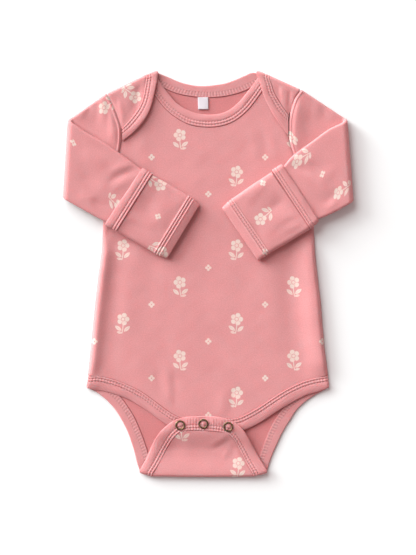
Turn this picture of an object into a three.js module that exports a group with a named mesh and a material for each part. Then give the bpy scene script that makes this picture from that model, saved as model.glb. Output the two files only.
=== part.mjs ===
// A baby's long-sleeved bodysuit laid flat, front up. Millimetres, +Z up, neck toward +Y.
// Every cloth piece is a wall of its real thickness round a mid-surface that is worked out from
// short tables of sections; the pieces stay a seam gap apart and lie on each other.
import * as THREE from 'three';

// ---------------------------------------------------------------- driving sizes
const CLOTH = 1.0;            // wall of the single jersey, nap included
const BIND = 1.6;             // wall of a binding: rib folded round the edge
const SEAM = 0.3;             // gap between pieces where they are sewn
const LEVEL = {               // heights of mid-surfaces above the table
  back: CLOTH / 2,            // back panel lies on the table
  backBinding: BIND / 2,
  sideSeam: 1.85,             // front panel's edge, down on the back panel's
  front: 3.2,                 // front panel away from its edges
  frontBinding: 3.3,
  lap: 5.0,                   // shoulder laps over the front's shoulders
  flapFold: 4.7,              // crotch flap just after its fold
  flapLow: 3.3,               // crotch flap between fold and snaps
  flapBand: 7.2,              // snap band on top of the snaps
};
const ROLL = { left: 4.5, right: 5.1, top: 3.7, widthLeft: 8, widthRight: 9 }; // side rolls of the front
const SLEEVE = { half: 1.7, lift: 5.4, bend: 3.2 };  // half height of the tube, fold axis height, its radius
const CUFF_HALF = 3.3;        // half height of the mitten tube round the sleeve
const FORE_Z = SLEEVE.lift + SLEEVE.bend;             // mid-plane of the folded forearm
const SNAP = { ring: 4.7, hole: 2.95, cap: [8.3, 9.1], socket: [5.2, 6.1], stud: [4.4, 4.9], post: 1.5, postTop: 5.9, back: [1.35, 2.2] };
const COLOUR = { body: 0xe59b9c, sleeve: 0xe7a1a3, rib: 0xdf9395, snap: 0x5a4b37, label: 0xf6f6fa };

const table = (cols, rows) => rows.map(r => Object.fromEntries(cols.map((c, i) => [c, r[i]])));

// ---------------------------------------------------------------- outline tables
// Side seam: half-body edges at each height of the body.
const SIDE = table(['y', 'left', 'right'], [
  [85, -98.5, 98.9], [62, -99.2, 99.6], [43.2, -99.8, 100.1], [20.4, -101.1, 101.1], [-2.4, -104.2, 103.6],
  [-25.2, -106.8, 106.4], [-48, -109.2, 108.2], [-70.8, -111.4, 110.2], [-96.6, -114.2, 113.6],
]);
// Armhole seam from the shoulder fold to the armpit.
const ARMHOLE = {
  left: table(['x', 'y'], [[-95.9, 171.7], [-92, 163.5], [-88.1, 154.8], [-85.1, 147], [-82.9, 140.2], [-82.4, 132],
    [-83.2, 121.8], [-84.9, 113], [-90.5, 98.3], [-98.5, 85]]),
  right: table(['x', 'y'], [[87.1, 175.6], [82.2, 166.8], [78.4, 155.9], [76.6, 147], [76.1, 138], [76.4, 131],
    [77.8, 123.2], [81, 113.5], [89, 96.4], [98.9, 85]]),
};
// Shoulder fold: outermost line from the armhole to the neck end of the lap, and its outward direction.
const SHOULDER = {
  left: { arm: [-95.9, 171.7], seam: [-60.2, 189.2], peak: [-48.7, 193.4], out: [-0.400, 0.916] },
  right: { arm: [87.1, 175.6], seam: [59.1, 188.2], peak: [46.7, 193.4], out: [0.395, 0.919] },
};
const SHOULDER_IN = 3.1;      // the fold's axis inside its outermost line
// Sections of the binding that runs down one lap, round the back neck and down the other lap:
// seam point and free-edge point.
const LAP_LEFT = table(['sx', 'sy', 'fx', 'fy'], [
  [-82.3, 137.8, -81.9, 125.6], [-76.6, 143.9, -71, 134.4], [-71.1, 150.5, -63, 142.8], [-65.9, 158.1, -56.6, 153.4],
  [-62.6, 166.5, -52.6, 164.2], [-60.6, 176, -50.2, 175.2],
]);
const NECK_BACK = table(['sx', 'sy', 'fx', 'fy'], [
  [-50.5, 181.2, -41.2, 187.9], [-40.3, 175.6, -33, 184.6], [-29.4, 171.2, -24, 181.4], [-18.4, 168.9, -14.5, 179.2],
  [-3.1, 167.4, -2, 178.5], [14.3, 168.4, 11.5, 180.1], [30.6, 172.3, 25.2, 184.3], [40.5, 176.6, 34, 188.2],
  [50, 181.8, 41, 191],
]);
const LAP_RIGHT = table(['sx', 'sy', 'fx', 'fy'], [
  [60.2, 179.5, 48.9, 181.5], [62.7, 171.8, 51.7, 171.8], [67, 164, 55.6, 161.8], [71.2, 157.6, 61.4, 150.6],
  [76.1, 150.6, 75.6, 131.8],
]);
// Sections of the front neck binding; its ends lie under the laps.
const NECK_FRONT = table(['sx', 'sy', 'fx', 'fy'], [
  [-57.5, 178.5, -48.6, 186], [-50.1, 168, -43, 177.2], [-40.3, 155.9, -33, 165.4], [-29.4, 147.3, -24.5, 158],
  [-18.4, 141.7, -15.8, 153.7], [-7.5, 139.5, -6.8, 151.4], [3, 139, 3, 151], [14.3, 140.7, 12.5, 152.6],
  [25.2, 145.1, 21, 156.4], [36.1, 153.7, 29.5, 163.6], [44.5, 163.5, 37, 172.2], [50.8, 172.3, 42.5, 179.6],
  [56.2, 179.4, 47, 186.2],
]);
const FRONT_SHOULDER = { left: [-93.2, 166.2], right: [84.4, 170.6] };   // front panel's corners under the laps
// Sections of the binding round the leg openings, the tab and the flap. One strip, in this order.
const LEG = {
  tabLeft: table(['sx', 'sy', 'fx', 'fy'], [
    [-2, -138, -2, -150.8], [-16, -137.8, -17, -150.8], [-25.5, -137, -30.5, -149.3], [-33, -133.9, -38.3, -144.6],
    [-41.7, -128.1, -46.6, -138.9], [-52.2, -120.2, -55.9, -132.2], [-62.6, -112.9, -66.1, -125.4], [-73.1, -107.2, -76.6, -119.5],
    [-83.5, -102.8, -87, -115.5], [-94, -99.5, -97.5, -112.4], [-104.5, -97.4, -107.6, -110.6]]),
  backLeft: table(['sx', 'sy', 'fx', 'fy'], [
    [-104, -100.3, -107.8, -112.4], [-92, -109.5, -98.5, -118.8], [-82.8, -118.3, -90.5, -127], [-76.4, -127, -84.8, -135],
    [-70.3, -137.1, -79.9, -144.6], [-65.5, -147.8, -75.4, -154.5], [-61.3, -158.6, -71.7, -165], [-57.1, -171.5, -68.6, -176.8]]),
  flapLeft: table(['sx', 'sy', 'fx', 'fy'], [
    [-47.9, -182.9, -59.9, -177.4], [-43.1, -174, -54.9, -165.9], [-38.3, -164.6, -48.7, -154.8], [-33.2, -156.7, -41.7, -146.4],
    [-27.2, -151, -33.4, -139.9], [-19.5, -149.2, -23, -136.4], [-9.5, -149, -11, -135.4], [0.5, -149.6, 1.5, -135.5]]),
  flapRight: table(['sx', 'sy', 'fx', 'fy'], [
    [9.6, -150.4, 13, -137], [18.6, -152.6, 24, -140.4], [24.6, -158.6, 32.2, -147.4], [29.8, -168, 39, -157.6],
    [35.4, -179.4, 46.4, -172]]),
  backRight: table(['sx', 'sy', 'fx', 'fy'], [
    [48, -175, 59.6, -176.5], [54.1, -158.6, 65.6, -161.5], [59.7, -145.6, 71.2, -150], [66.2, -134.4, 77.6, -139.6],
    [74.4, -124, 84.6, -129.6], [85, -113.8, 93, -121.4], [98.4, -104.4, 103.6, -114.4]]),
  tabRight: table(['sx', 'sy', 'fx', 'fy'], [
    [100.8, -99.3, 104.2, -112.7], [90.4, -102.2, 93.8, -115.5], [79.9, -106.8, 83.3, -120.4], [69.4, -112.6, 72.9, -126.2],
    [58.9, -119.4, 62.9, -133], [48.4, -126.4, 53, -139.4], [38, -132.4, 42.7, -145.2], [27.6, -136.9, 31.5, -149.6],
    [16, -138.2, 17, -151]]),
};
const LEG_CORNER = {          // where the strip folds over at the foot of each side seam, and the fold's direction
  left: { s: [-112.4, -97.8], f: [-114.6, -109.2], out: [-0.983, 0.184] },
  right: { s: [111.7, -97.4], f: [113.3, -109], out: [0.990, 0.137] },
};
const CROTCH = { left: { s: [-52.9, -190.4], f: [-65.6, -187.2] }, right: { s: [42.2, -190.6], f: [55.9, -187.2] } };
// Sleeves: ends of the elbow fold on the upper arm and on the forearm, its outward direction, the
// forearm's two edges, then the edges of the mitten tube and of its rib band.
const ARM = {
  left: {
    top: [-96.9, 170.6], pit: [-99.4, 84.4], shift: [-0.5, 0], out: [-0.998, 0.061],
    foldUp: [[-128.3, 148.6], [-132.9, 74.4]], foldFore: [[-128.3, 141.9], [-132.9, 68.9]],
    upper: [[-113.7, 131.9], [-101.2, 124.9], [-84.5, 113.8], [-75.9, 107.6], [-64.4, 98.9], [-11.3, 63.9]],
    lower: [[-121.7, 62.7], [-108.6, 55.3], [-102.7, 52.2], [-97.4, 49.4], [-68, 33.8], [-38.6, 18]],
    mitten: table(['x0', 'y0', 'x1', 'y1'], [[-53.6, 93.1, -86.8, 40.7], [-35, 82.5, -68, 29.8], [-17.6, 72.2, -49.3, 19.2], [-8.8, 65, -38.9, 15.3]]),
    band: table(['x0', 'y0', 'x1', 'y1'], [[-63.3, 100.3, -98.5, 47.5], [-53.9, 94.0, -87.1, 41.1]]),
  },
  right: {
    top: [88.2, 174.4], pit: [99.8, 84.4], shift: [0.5, 0], out: [0.997, 0.075],
    foldUp: [[126.9, 148.8], [132.7, 71]], foldFore: [[126.9, 142.3], [132.7, 65.8]],
    upper: [[114.9, 136.6], [98.5, 124.7], [81, 111.9], [75.6, 106.2], [71.5, 101.2], [16.1, 61]],
    lower: [[120.9, 59.1], [113.5, 55.6], [107.8, 53.3], [103.9, 51.6], [76, 34], [47.3, 15.6]],
    mitten: table(['x0', 'y0', 'x1', 'y1'], [[60.1, 95.6, 96, 42.3], [41, 83.2, 76.2, 30.2], [22, 69.6, 55.5, 18.2], [13.6, 62, 47.4, 12.8]]),
    band: table(['x0', 'y0', 'x1', 'y1'], [[69.8, 103.5, 105, 50.1], [60.4, 97.1, 96.2, 42.6]]),
  },
};
const SNAPS = table(['name', 'x', 'y'], [['left', -26.7, -143.9], ['middle', -4.7, -142.6], ['right', 18.8, -145.4]]);
const LABEL = { x: [-9.7, -0.1], y: [156.5, 166.9], z: 1.7, wall: 0.7 };

// ---------------------------------------------------------------- small maths
const lerp = (a, b, t) => a + (b - a) * t;
const mix = (p, q, t) => [lerp(p[0], q[0], t), lerp(p[1], q[1], t)];
const add = (p, d, k = 1) => [p[0] + d[0] * k, p[1] + d[1] * k];
const smooth = (a, b, x) => { const t = Math.min(1, Math.max(0, (x - a) / (b - a))); return t * t * (3 - 2 * t); };
const bump = (x, c, w) => Math.exp(-(((x - c) / w) ** 2));
const curve = pts => new THREE.CatmullRomCurve3(pts.map(p => new THREE.Vector3(p[0], p[1], 0)), false, 'centripetal');
const spaced = (pts, n) => (pts.length < 3 ? Array.from({ length: n + 1 }, (_, i) => mix(pts[0], pts[1], i / n))
  : curve(pts).getSpacedPoints(n).map(v => [v.x, v.y]));
const stepped = (pts, k) => { const c = curve(pts), n = (pts.length - 1) * k; return Array.from({ length: n + 1 }, (_, i) => { const v = c.getPoint(i / n); return [v.x, v.y]; }); };
const xy = rows => rows.map(r => [r.x, r.y]);
const seamOf = rows => rows.map(r => [r.sx, r.sy]);
const edgeOf = (rows, clear) => rows.map(r => { const w = Math.hypot(r.fx - r.sx, r.fy - r.sy); return [r.sx - (r.fx - r.sx) * clear / w, r.sy - (r.fy - r.sy) * clear / w]; });
const freeOf = rows => rows.map(r => [r.fx, r.fy]);

// Grid between four boundaries, each given as points.
function patch(top, bottom, left, right) {
  const n = left.length - 1, m = top.length - 1;
  return left.map((l, i) => top.map((t, j) => {
    const v = i / n, u = j / m, out = [0, 0];
    for (const k of [0, 1]) {
      out[k] = (1 - v) * t[k] + v * bottom[j][k] + (1 - u) * l[k] + u * right[i][k]
        - ((1 - u) * (1 - v) * top[0][k] + u * (1 - v) * top[m][k] + (1 - u) * v * bottom[0][k] + u * v * bottom[m][k]);
    }
    return out;
  }));
}

// ---------------------------------------------------------------- cloth walls
// Grids of mid-surface points are sewn together where their points coincide, then moved out and in
// by half the wall along the surface, and closed along every free edge.
function cloth(grids, wall, closed = false) {
  const pts = [], index = new Map(), faces = [];
  const id = p => {
    const k = p.map(c => Math.round(c * 1000)).join(',');
    if (!index.has(k)) { index.set(k, pts.length); pts.push(new THREE.Vector3(...p)); }
    return index.get(k);
  };
  for (const g of grids) {
    const ids = g.map(r => r.map(id)), m = g[0].length;
    for (let i = 0; i + 1 < g.length; i++) for (let j = 0; j < (closed ? m : m - 1); j++) {
      const q = [ids[i][j], ids[i][(j + 1) % m], ids[i + 1][(j + 1) % m], ids[i + 1][j]];
      for (const t of [[q[0], q[1], q[2]], [q[0], q[2], q[3]]]) if (new Set(t).size === 3) faces.push(t);
    }
  }
  const normal = pts.map(() => new THREE.Vector3()), e1 = new THREE.Vector3(), e2 = new THREE.Vector3();
  for (const [a, b, c] of faces) {
    e1.subVectors(pts[b], pts[a]); e2.subVectors(pts[c], pts[a]);
    const f = e1.clone().cross(e2);
    for (const k of [a, b, c]) normal[k].add(f);
  }
  normal.forEach(v => v.normalize());
  const count = pts.length, position = [];
  for (const s of [0.5, -0.5]) pts.forEach((p, k) => position.push(p.x + normal[k].x * wall * s, p.y + normal[k].y * wall * s, p.z + normal[k].z * wall * s));
  const indices = [], edges = new Map();
  for (const [a, b, c] of faces) {
    indices.push(a, b, c, a + count, c + count, b + count);
    for (const [p, q] of [[a, b], [b, c], [c, a]]) {
      if (edges.has(q + '_' + p)) edges.delete(q + '_' + p); else edges.set(p + '_' + q, [p, q]);
    }
  }
  for (const [p, q] of edges.values()) indices.push(q, p, p + count, q, p + count, q + count);
  return finish(position, indices);
}

function finish(position, indices) {
  let volume = 0;
  const p = k => new THREE.Vector3(position[3 * k], position[3 * k + 1], position[3 * k + 2]);
  for (let i = 0; i < indices.length; i += 3) volume += p(indices[i]).dot(p(indices[i + 1]).cross(p(indices[i + 2])));
  if (volume < 0) for (let i = 0; i < indices.length; i += 3) [indices[i], indices[i + 1]] = [indices[i + 1], indices[i]];
  const g = new THREE.BufferGeometry();
  g.setAttribute('position', new THREE.Float32BufferAttribute(position, 3));
  g.setIndex(indices);
  g.computeVertexNormals();
  return g;
}

// ---------------------------------------------------------------- heights of the layers
function sideAt(y, key) {
  for (let i = 0; i + 1 < SIDE.length; i++) if (y >= SIDE[i + 1].y) return lerp(SIDE[i][key], SIDE[i + 1][key], (y - SIDE[i].y) / (SIDE[i + 1].y - SIDE[i].y));
  return SIDE[SIDE.length - 1][key];
}
// Front panel: low at the side seams, a soft roll just inside them, valleys inside the rolls.
function frontHeight(x, y) {
  const onSide = smooth(92, 70, y) * smooth(-110, -92, y);
  const open = smooth(46, 14, y) * smooth(-104, -84, y);
  const dl = x - sideAt(y, 'left'), dr = sideAt(y, 'right') - x;
  const edge = d => { const t = Math.min(1, Math.max(0, d / 7)); return 1 - Math.sqrt(1 - (1 - t) ** 2); };
  let z = LEVEL.front;
  z += open * (ROLL.left - LEVEL.front) * bump(dl, 6, ROLL.widthLeft) + open * (ROLL.right - LEVEL.front) * bump(dr, 8, ROLL.widthRight);
  z -= open * 0.7 * (bump(dl, 22, 7) + bump(dr, 27, 9));
  return z - onSide * (z - LEVEL.sideSeam) * Math.max(edge(dl), edge(dr));
}
// Crotch flap: high at its fold, low behind it, then up over the tab and the snaps.
const flapHeight = y => lerp(LEVEL.flapLow, LEVEL.flapFold, smooth(-172, -190, y)) + (LEVEL.flapBand - LEVEL.flapLow) * smooth(-169, -149, y);
const at = (p, z) => [p[0], p[1], z];
// Point of a fold between two levels: axis point, outward direction, turn from 0 to 1.
function fold(p, out, z0, z1, turn) {
  const r = (z1 - z0) / 2, a = Math.PI * turn;
  return [p[0] + out[0] * r * Math.sin(a), p[1] + out[1] * r * Math.sin(a), (z0 + z1) / 2 - r * Math.cos(a)];
}
const TURNS = [0.25, 0.5, 0.75];

// ---------------------------------------------------------------- body
const COLS = 18, SHOULDER_COLS = 3, ROWS = 8, SIDE_ROWS = 6;
const LEG_ROWS = 10;
const CLEAR = { neck: 0.45, leg: 0.22 };   // a panel's bound edge stays this much back, because its steps are longer than the binding's
const shoulderAxis = key => { const s = SHOULDER[key]; return { arm: add(s.arm, s.out, -SHOULDER_IN), seam: add(s.seam, s.out, -SHOULDER_IN), peak: add(s.peak, s.out, -SHOULDER_IN) }; };
const axisL = shoulderAxis('left'), axisR = shoulderAxis('right');
const armholeFrom = (key, start) => [start, ...xy(ARMHOLE[key]).filter(p => p[1] < start[1] - 3)];
const armpitRow = spaced([[SIDE[0].left, SIDE[0].y], [SIDE[0].right, SIDE[0].y]], COLS);
const legRow = spaced([[SIDE[8].left, SIDE[8].y], [SIDE[8].right, SIDE[8].y]], COLS);
const sideRows = n => Array.from({ length: n + 1 }, (_, i) => {
  const y = lerp(SIDE[0].y, SIDE[8].y, i / n);
  return spaced([[sideAt(y, 'left'), y], [sideAt(y, 'right'), y]], COLS);
});

function frontPanel() {
  const neck = edgeOf(NECK_FRONT, CLEAR.neck);
  const top = [...spaced([FRONT_SHOULDER.left, neck[0]], SHOULDER_COLS), ...spaced(neck, COLS - 2 * SHOULDER_COLS).slice(1),
    ...spaced([neck[neck.length - 1], FRONT_SHOULDER.right], SHOULDER_COLS).slice(1)];
  const upper = patch(top, armpitRow, spaced(armholeFrom('left', FRONT_SHOULDER.left), ROWS), spaced(armholeFrom('right', FRONT_SHOULDER.right), ROWS));
  const tabL = edgeOf(LEG.tabLeft, CLEAR.leg), tabR = edgeOf(LEG.tabRight, CLEAR.leg);
  const left = spaced([legRow[0], ...tabL.slice(3).reverse(), tabL[2]], LEG_ROWS);
  const right = spaced([legRow[COLS], ...tabR.slice(0, 7), tabR[7]], LEG_ROWS);
  const bottom = spaced([tabL[2], tabL[1], tabL[0], tabR[8], tabR[7]], COLS);
  const lower = patch(legRow, bottom, left, right);
  return cloth([upper, sideRows(SIDE_ROWS), lower].map(g => g.map(r => r.map(p => at(p, frontHeight(p[0], p[1]))))), CLOTH);
}

function backPanel() {
  const neck = [axisL.seam, ...seamOf(NECK_BACK), axisR.seam];
  const top = [...spaced([axisL.arm, axisL.seam], SHOULDER_COLS), ...spaced(neck, COLS - 2 * SHOULDER_COLS).slice(1),
    ...spaced([axisR.seam, axisR.arm], SHOULDER_COLS).slice(1)];
  const upper = patch(top, armpitRow, spaced(armholeFrom('left', axisL.arm), ROWS), spaced(armholeFrom('right', axisR.arm), ROWS));
  const crotchRow = spaced([CROTCH.left.s, [-5, -190.9], CROTCH.right.s], COLS);
  const lower = patch(legRow, crotchRow, spaced([legRow[0], ...edgeOf(LEG.backLeft, CLEAR.leg), CROTCH.left.s], LEG_ROWS),
    spaced([legRow[COLS], ...edgeOf(LEG.backRight, CLEAR.leg).reverse(), CROTCH.right.s], LEG_ROWS));
  const flat = [upper, sideRows(SIDE_ROWS), lower].map(g => g.map(r => r.map(p => at(p, LEVEL.back))));
  // crotch flap: round the fold, then up to the seam of the snap band
  const flapL = edgeOf(LEG.flapLeft, CLEAR.leg), flapR = edgeOf(LEG.flapRight, CLEAR.leg);
  const flap = patch(crotchRow, spaced([flapL[4], flapL[5], flapL[6], flapL[7], flapR[0], flapR[1]], COLS),
    spaced([CROTCH.left.s, ...flapL.slice(0, 5)], 6), spaced([CROTCH.right.s, ...flapR.slice(1).reverse()], 6));
  const turn = [0, ...TURNS, 1].map(t => crotchRow.map(p => fold(p, [0, -1], LEVEL.back, LEVEL.flapFold, t)));
  // the turn's last row and the flap's first row are the same points
  const flapGrid = flap.map((r, i) => r.map(p => at(p, i ? flapHeight(p[1]) : LEVEL.flapFold)));
  // laps: round the shoulder fold, then down to the point where the lap's seam meets the armhole
  const laps = [['left', top.slice(0, SHOULDER_COLS + 1), LAP_LEFT], ['right', top.slice(COLS - SHOULDER_COLS).reverse(), [...LAP_RIGHT].reverse()]].map(([key, row, lap]) => {
    const tip = [lap[0].sx, lap[0].sy], out = SHOULDER[key].out, n = 5;
    const arm = spaced([row[0], ...armholeFrom(key, row[0]).slice(1).filter(p => p[1] > tip[1] + 3), tip], n);
    const seam = spaced([row[SHOULDER_COLS], ...seamOf(lap).reverse()], n);
    const grid = arm.map((a, i) => row.map((p, j) => at(i ? mix(a, seam[i], j / SHOULDER_COLS) : p, LEVEL.lap)));
    return [[0, ...TURNS, 1].map(t => row.map(p => fold(p, out, LEVEL.back, LEVEL.lap, t))), grid];
  });
  const seams = [...flat, turn, flapGrid, ...laps.flat()];
  return cloth(orient(seams), CLOTH);
}
// Laps and folds continue the panel on its other face, so grids are turned to share one face direction.
function orient(grids) {
  const key = p => p.map(c => Math.round(c * 1000)).join(',');
  const done = new Map(), out = [];
  const directed = g => { const e = []; for (let i = 0; i + 1 < g.length; i++) for (let j = 0; j + 1 < g[0].length; j++) { const q = [g[i][j], g[i][j + 1], g[i + 1][j + 1], g[i + 1][j]].map(key); for (let k = 0; k < 4; k++) if (q[k] !== q[(k + 1) % 4]) e.push(q[k] + '|' + q[(k + 1) % 4]); } return e; };
  for (const g of grids) {
    let h = g;
    if (directed(g).some(e => done.has(e) && !done.get(e))) h = g.map(r => [...r].reverse());
    const es = directed(h), own = new Set(es);
    for (const e of es) { const [a, b] = e.split('|'); if (!own.has(b + '|' + a)) done.set(e, false); }
    out.push(h);
  }
  return out;
}

// ---------------------------------------------------------------- strips
// A binding: sections from its seam to its free edge, kept a seam gap off the panel it is sewn to.
function strip(sections, wall, ring = false) {
  const rows = sections.map(({ s, f }) => {
    const w = Math.hypot(f[0] - s[0], f[1] - s[1], f[2] - s[2]), a = SEAM / w;
    const q = t => s.map((c, k) => lerp(c, f[k], t));
    return [q(a), q(1)];
  });
  return cloth([ring ? [...rows, rows[0]] : rows], wall);
}
function stretch(rows, height, k = 2, from = null, to = null) {
  const s = seamOf(rows), f = freeOf(rows);
  if (from) { s.unshift(from.s); f.unshift(from.f); }
  if (to) { s.push(to.s); f.push(to.f); }
  const S = stepped(s, k), F = stepped(f, k);
  return S.map((p, i) => ({ s: at(p, height(p)), f: at(F[i], height(F[i])) }));
}
const turned = (c, out, z0, z1, turns) => turns.map(t => ({ s: fold(c.s, out, z0, z1, t), f: fold(c.f, out, z0, z1, t) }));

function neckBack() {
  const flat = () => LEVEL.backBinding, lap = () => LEVEL.lap;
  const foldL = { s: axisL.seam, f: axisL.peak }, foldR = { s: axisR.seam, f: axisR.peak };
  return strip([
    ...stretch(LAP_LEFT, lap, 2, null, foldL),
    ...turned(foldL, SHOULDER.left.out, LEVEL.backBinding, LEVEL.lap, [0.75, 0.5, 0.25]),
    ...stretch(NECK_BACK, flat, 2, foldL, foldR),
    ...turned(foldR, SHOULDER.right.out, LEVEL.backBinding, LEVEL.lap, TURNS),
    ...stretch(LAP_RIGHT, lap, 2, foldR, null),
  ], BIND);
}
const neckFront = () => strip(stretch(NECK_FRONT, () => LEVEL.frontBinding), BIND);

function legBinding() {
  const front = () => LEVEL.frontBinding, back = () => LEVEL.backBinding;
  const flap = p => flapHeight(p[1]), down = [0, -1];
  const cl = LEG_CORNER.left, cr = LEG_CORNER.right;
  return strip([
    ...stretch(LEG.tabLeft, front, 2, null, cl),
    ...turned(cl, cl.out, LEVEL.backBinding, LEVEL.frontBinding, [0.75, 0.5, 0.25]),
    ...stretch(LEG.backLeft, back, 2, cl, CROTCH.left),
    ...turned(CROTCH.left, down, LEVEL.backBinding, LEVEL.flapFold, TURNS),
    ...stretch([...LEG.flapLeft, ...LEG.flapRight], p => (p[1] < -187 ? LEVEL.flapFold : flap(p)), 2, CROTCH.left, CROTCH.right),
    ...turned(CROTCH.right, down, LEVEL.backBinding, LEVEL.flapFold, [0.75, 0.5, 0.25]),
    ...stretch([...LEG.backRight], back, 2, CROTCH.right, cr),
    ...turned(cr, cr.out, LEVEL.backBinding, LEVEL.frontBinding, TURNS),
    ...stretch(LEG.tabRight, front, 2, cr, null),
  ], BIND, true);
}

// ---------------------------------------------------------------- sleeves and mittens
// One round of a flattened tube: place across it (0 to 1) and layer (-1 under, 1 over).
function round(width, half, steps) {
  const d = Math.min(0.3, half / width), loop = [];
  for (let k = 0; k <= steps; k++) loop.push([d + (1 - 2 * d) * k / steps, -1]);
  for (const a of [-45, 0, 45]) loop.push([1 - d * (1 - Math.cos(a * Math.PI / 180)), Math.sin(a * Math.PI / 180)]);
  for (let k = steps; k >= 0; k--) loop.push([d + (1 - 2 * d) * k / steps, 1]);
  for (const a of [45, 0, -45]) loop.push([d * (1 - Math.cos(a * Math.PI / 180)), Math.sin(a * Math.PI / 180)]);
  return loop;
}
const across = (row, v) => { const t = Math.min(row.length - 1.0001, Math.max(0, v * (row.length - 1))), i = Math.floor(t); return mix(row[i], row[i + 1], t - i); };
const spanOf = row => { let w = 0; for (let i = 1; i < row.length; i++) w += Math.hypot(row[i][0] - row[i - 1][0], row[i][1] - row[i - 1][1]); return w; };

function sleeve(a, key) {
  const N = 12, steps = 6;
  const hole = spaced([a.top, ...xy(ARMHOLE[key]).slice(1, -1).map(p => add(p, a.shift)), a.pit], N);
  const foldUp = spaced(a.foldUp, N), foldFore = spaced(a.foldFore, N);
  const arm = patch(hole, foldUp, spaced([hole[0], foldUp[0]], 5), spaced([hole[N], foldUp[N]], 5));
  const fore = patch(foldFore, spaced([a.upper[a.upper.length - 1], a.lower[a.lower.length - 1]], N),
    spaced([foldFore[0], ...a.upper], 7), spaced([foldFore[N], ...a.lower], 7));
  const rings = [];
  const ring = (row, place) => rings.push(round(spanOf(row), SLEEVE.half, steps).map(([v, m]) => place(across(row, v), v, m)));
  arm.forEach((row, i) => {
    if (i === arm.length - 1) return;
    // over layer: high beside the lap, lower toward the armpit, level at the elbow
    const open = v => lerp(lerp(SLEEVE.half, (lerp(LEVEL.lap, 3.6, smooth(0.35, 0.75, v)) - CLOTH / 2) / 2, 1 - i / (arm.length - 1)), SLEEVE.half, smooth(0, 4, i));
    ring(row, (p, v, m) => at(p, CLOTH / 2 + open(v) * (1 + m)));
  });
  for (const t of [0, 0.2, 0.4, 0.6, 0.8, 1]) {
    const row = foldUp.map((p, i) => mix(p, foldFore[i], t)), turn = Math.PI * t;
    ring(row, (p, v, m) => {
      const r = SLEEVE.bend - m * SLEEVE.half;
      return [p[0] + a.out[0] * r * Math.sin(turn), p[1] + a.out[1] * r * Math.sin(turn), SLEEVE.lift - r * Math.cos(turn)];
    });
  }
  fore.slice(1).forEach(row => ring(row, (p, v, m) => at(p, FORE_Z - m * SLEEVE.half)));
  return cloth([rings], CLOTH, true);
}
function cuffTube(rows, wall, perRow) {
  const up = stepped(rows.map(r => [r.x0, r.y0]), perRow), low = stepped(rows.map(r => [r.x1, r.y1]), perRow);
  const rings = up.map((p, i) => round(spanOf([p, low[i]]), CUFF_HALF, 6).map(([v, m]) => at(mix(p, low[i], v), FORE_Z + m * CUFF_HALF)));
  return cloth([rings], wall, true);
}
// A tube's end is moved back so that it stays a seam gap off the next piece.
const short = (rows, gap) => { const [a, b] = rows, k = gap / Math.hypot(b.x0 - a.x0, b.y0 - a.y0); return [{ x0: lerp(a.x0, b.x0, k), y0: lerp(a.y0, b.y0, k), x1: lerp(a.x1, b.x1, k), y1: lerp(a.y1, b.y1, k) }, ...rows.slice(1)]; };

// ---------------------------------------------------------------- snaps and label
const lathe = profile => { const g = new THREE.LatheGeometry(profile.map(([r, z]) => new THREE.Vector2(r, z)), 16); g.rotateX(Math.PI / 2); return g; };
const ringProfile = (ri, ro, z0, z1, c = 0.25) => [[ri, z0], [ro, z0], [ro, z1 - c], [ro - c, z1], [ri + c, z1], [ri, z1 - c], [ri, z0]];
const studProfile = () => [[0, SNAP.stud[0]], [4.4, SNAP.stud[0]], [4.4, SNAP.stud[1]], [SNAP.post, SNAP.stud[1]], [SNAP.post, SNAP.postTop], [0, SNAP.postTop]];

// ---------------------------------------------------------------- the garment
const garment = new THREE.Group();
const shade = (color, roughness, metalness = 0) => new THREE.MeshStandardMaterial({ color, roughness, metalness });
function put(name, geometry, material, x = 0, y = 0) {
  const mesh = new THREE.Mesh(geometry, material);
  mesh.name = name;
  mesh.position.set(x, y, 0);
  garment.add(mesh);
}
put('back_panel', backPanel(), shade(COLOUR.body, 0.95));
put('front_panel', frontPanel(), shade(COLOUR.body, 0.95));
for (const key of ['left', 'right']) {
  const a = ARM[key];
  put('sleeve_' + key, sleeve(a, key), shade(COLOUR.sleeve, 0.95));
  put('mitten_' + key, cuffTube(short(a.mitten, SEAM), CLOTH, 1), shade(COLOUR.sleeve, 0.95));
  put('cuff_band_' + key, cuffTube(a.band, BIND, 1), shade(COLOUR.rib, 0.95));
}
put('neck_binding_back', neckBack(), shade(COLOUR.rib, 0.95));
put('neck_binding_front', neckFront(), shade(COLOUR.rib, 0.95));
put('leg_binding', legBinding(), shade(COLOUR.rib, 0.95));
for (const s of SNAPS) {
  put('snap_' + s.name + '_cap', lathe(ringProfile(SNAP.hole, SNAP.ring, ...SNAP.cap)), shade(COLOUR.snap, 0.4, 0.9), s.x, s.y);
  put('snap_' + s.name + '_socket', lathe(ringProfile(1.9, 4.6, ...SNAP.socket, 0.15)), shade(COLOUR.snap, 0.4, 0.9), s.x, s.y);
  put('snap_' + s.name + '_stud', lathe(studProfile()), shade(COLOUR.snap, 0.4, 0.9), s.x, s.y);
  put('snap_' + s.name + '_back', lathe(ringProfile(SNAP.hole, 4.5, ...SNAP.back, 0.15)), shade(COLOUR.snap, 0.4, 0.9), s.x, s.y);
}
put('label', cloth([[LABEL.y[1], LABEL.y[0]].map(y => LABEL.x.map(x => [x, y, LABEL.z]))], LABEL.wall), shade(COLOUR.label, 0.7));

export default garment;
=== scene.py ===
"""A baby's long-sleeved bodysuit laid flat, front up: fine cloth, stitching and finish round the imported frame.
Sizes below are millimetres; meshes are written in metres. +Z up, neck toward +Y."""
import math

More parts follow.
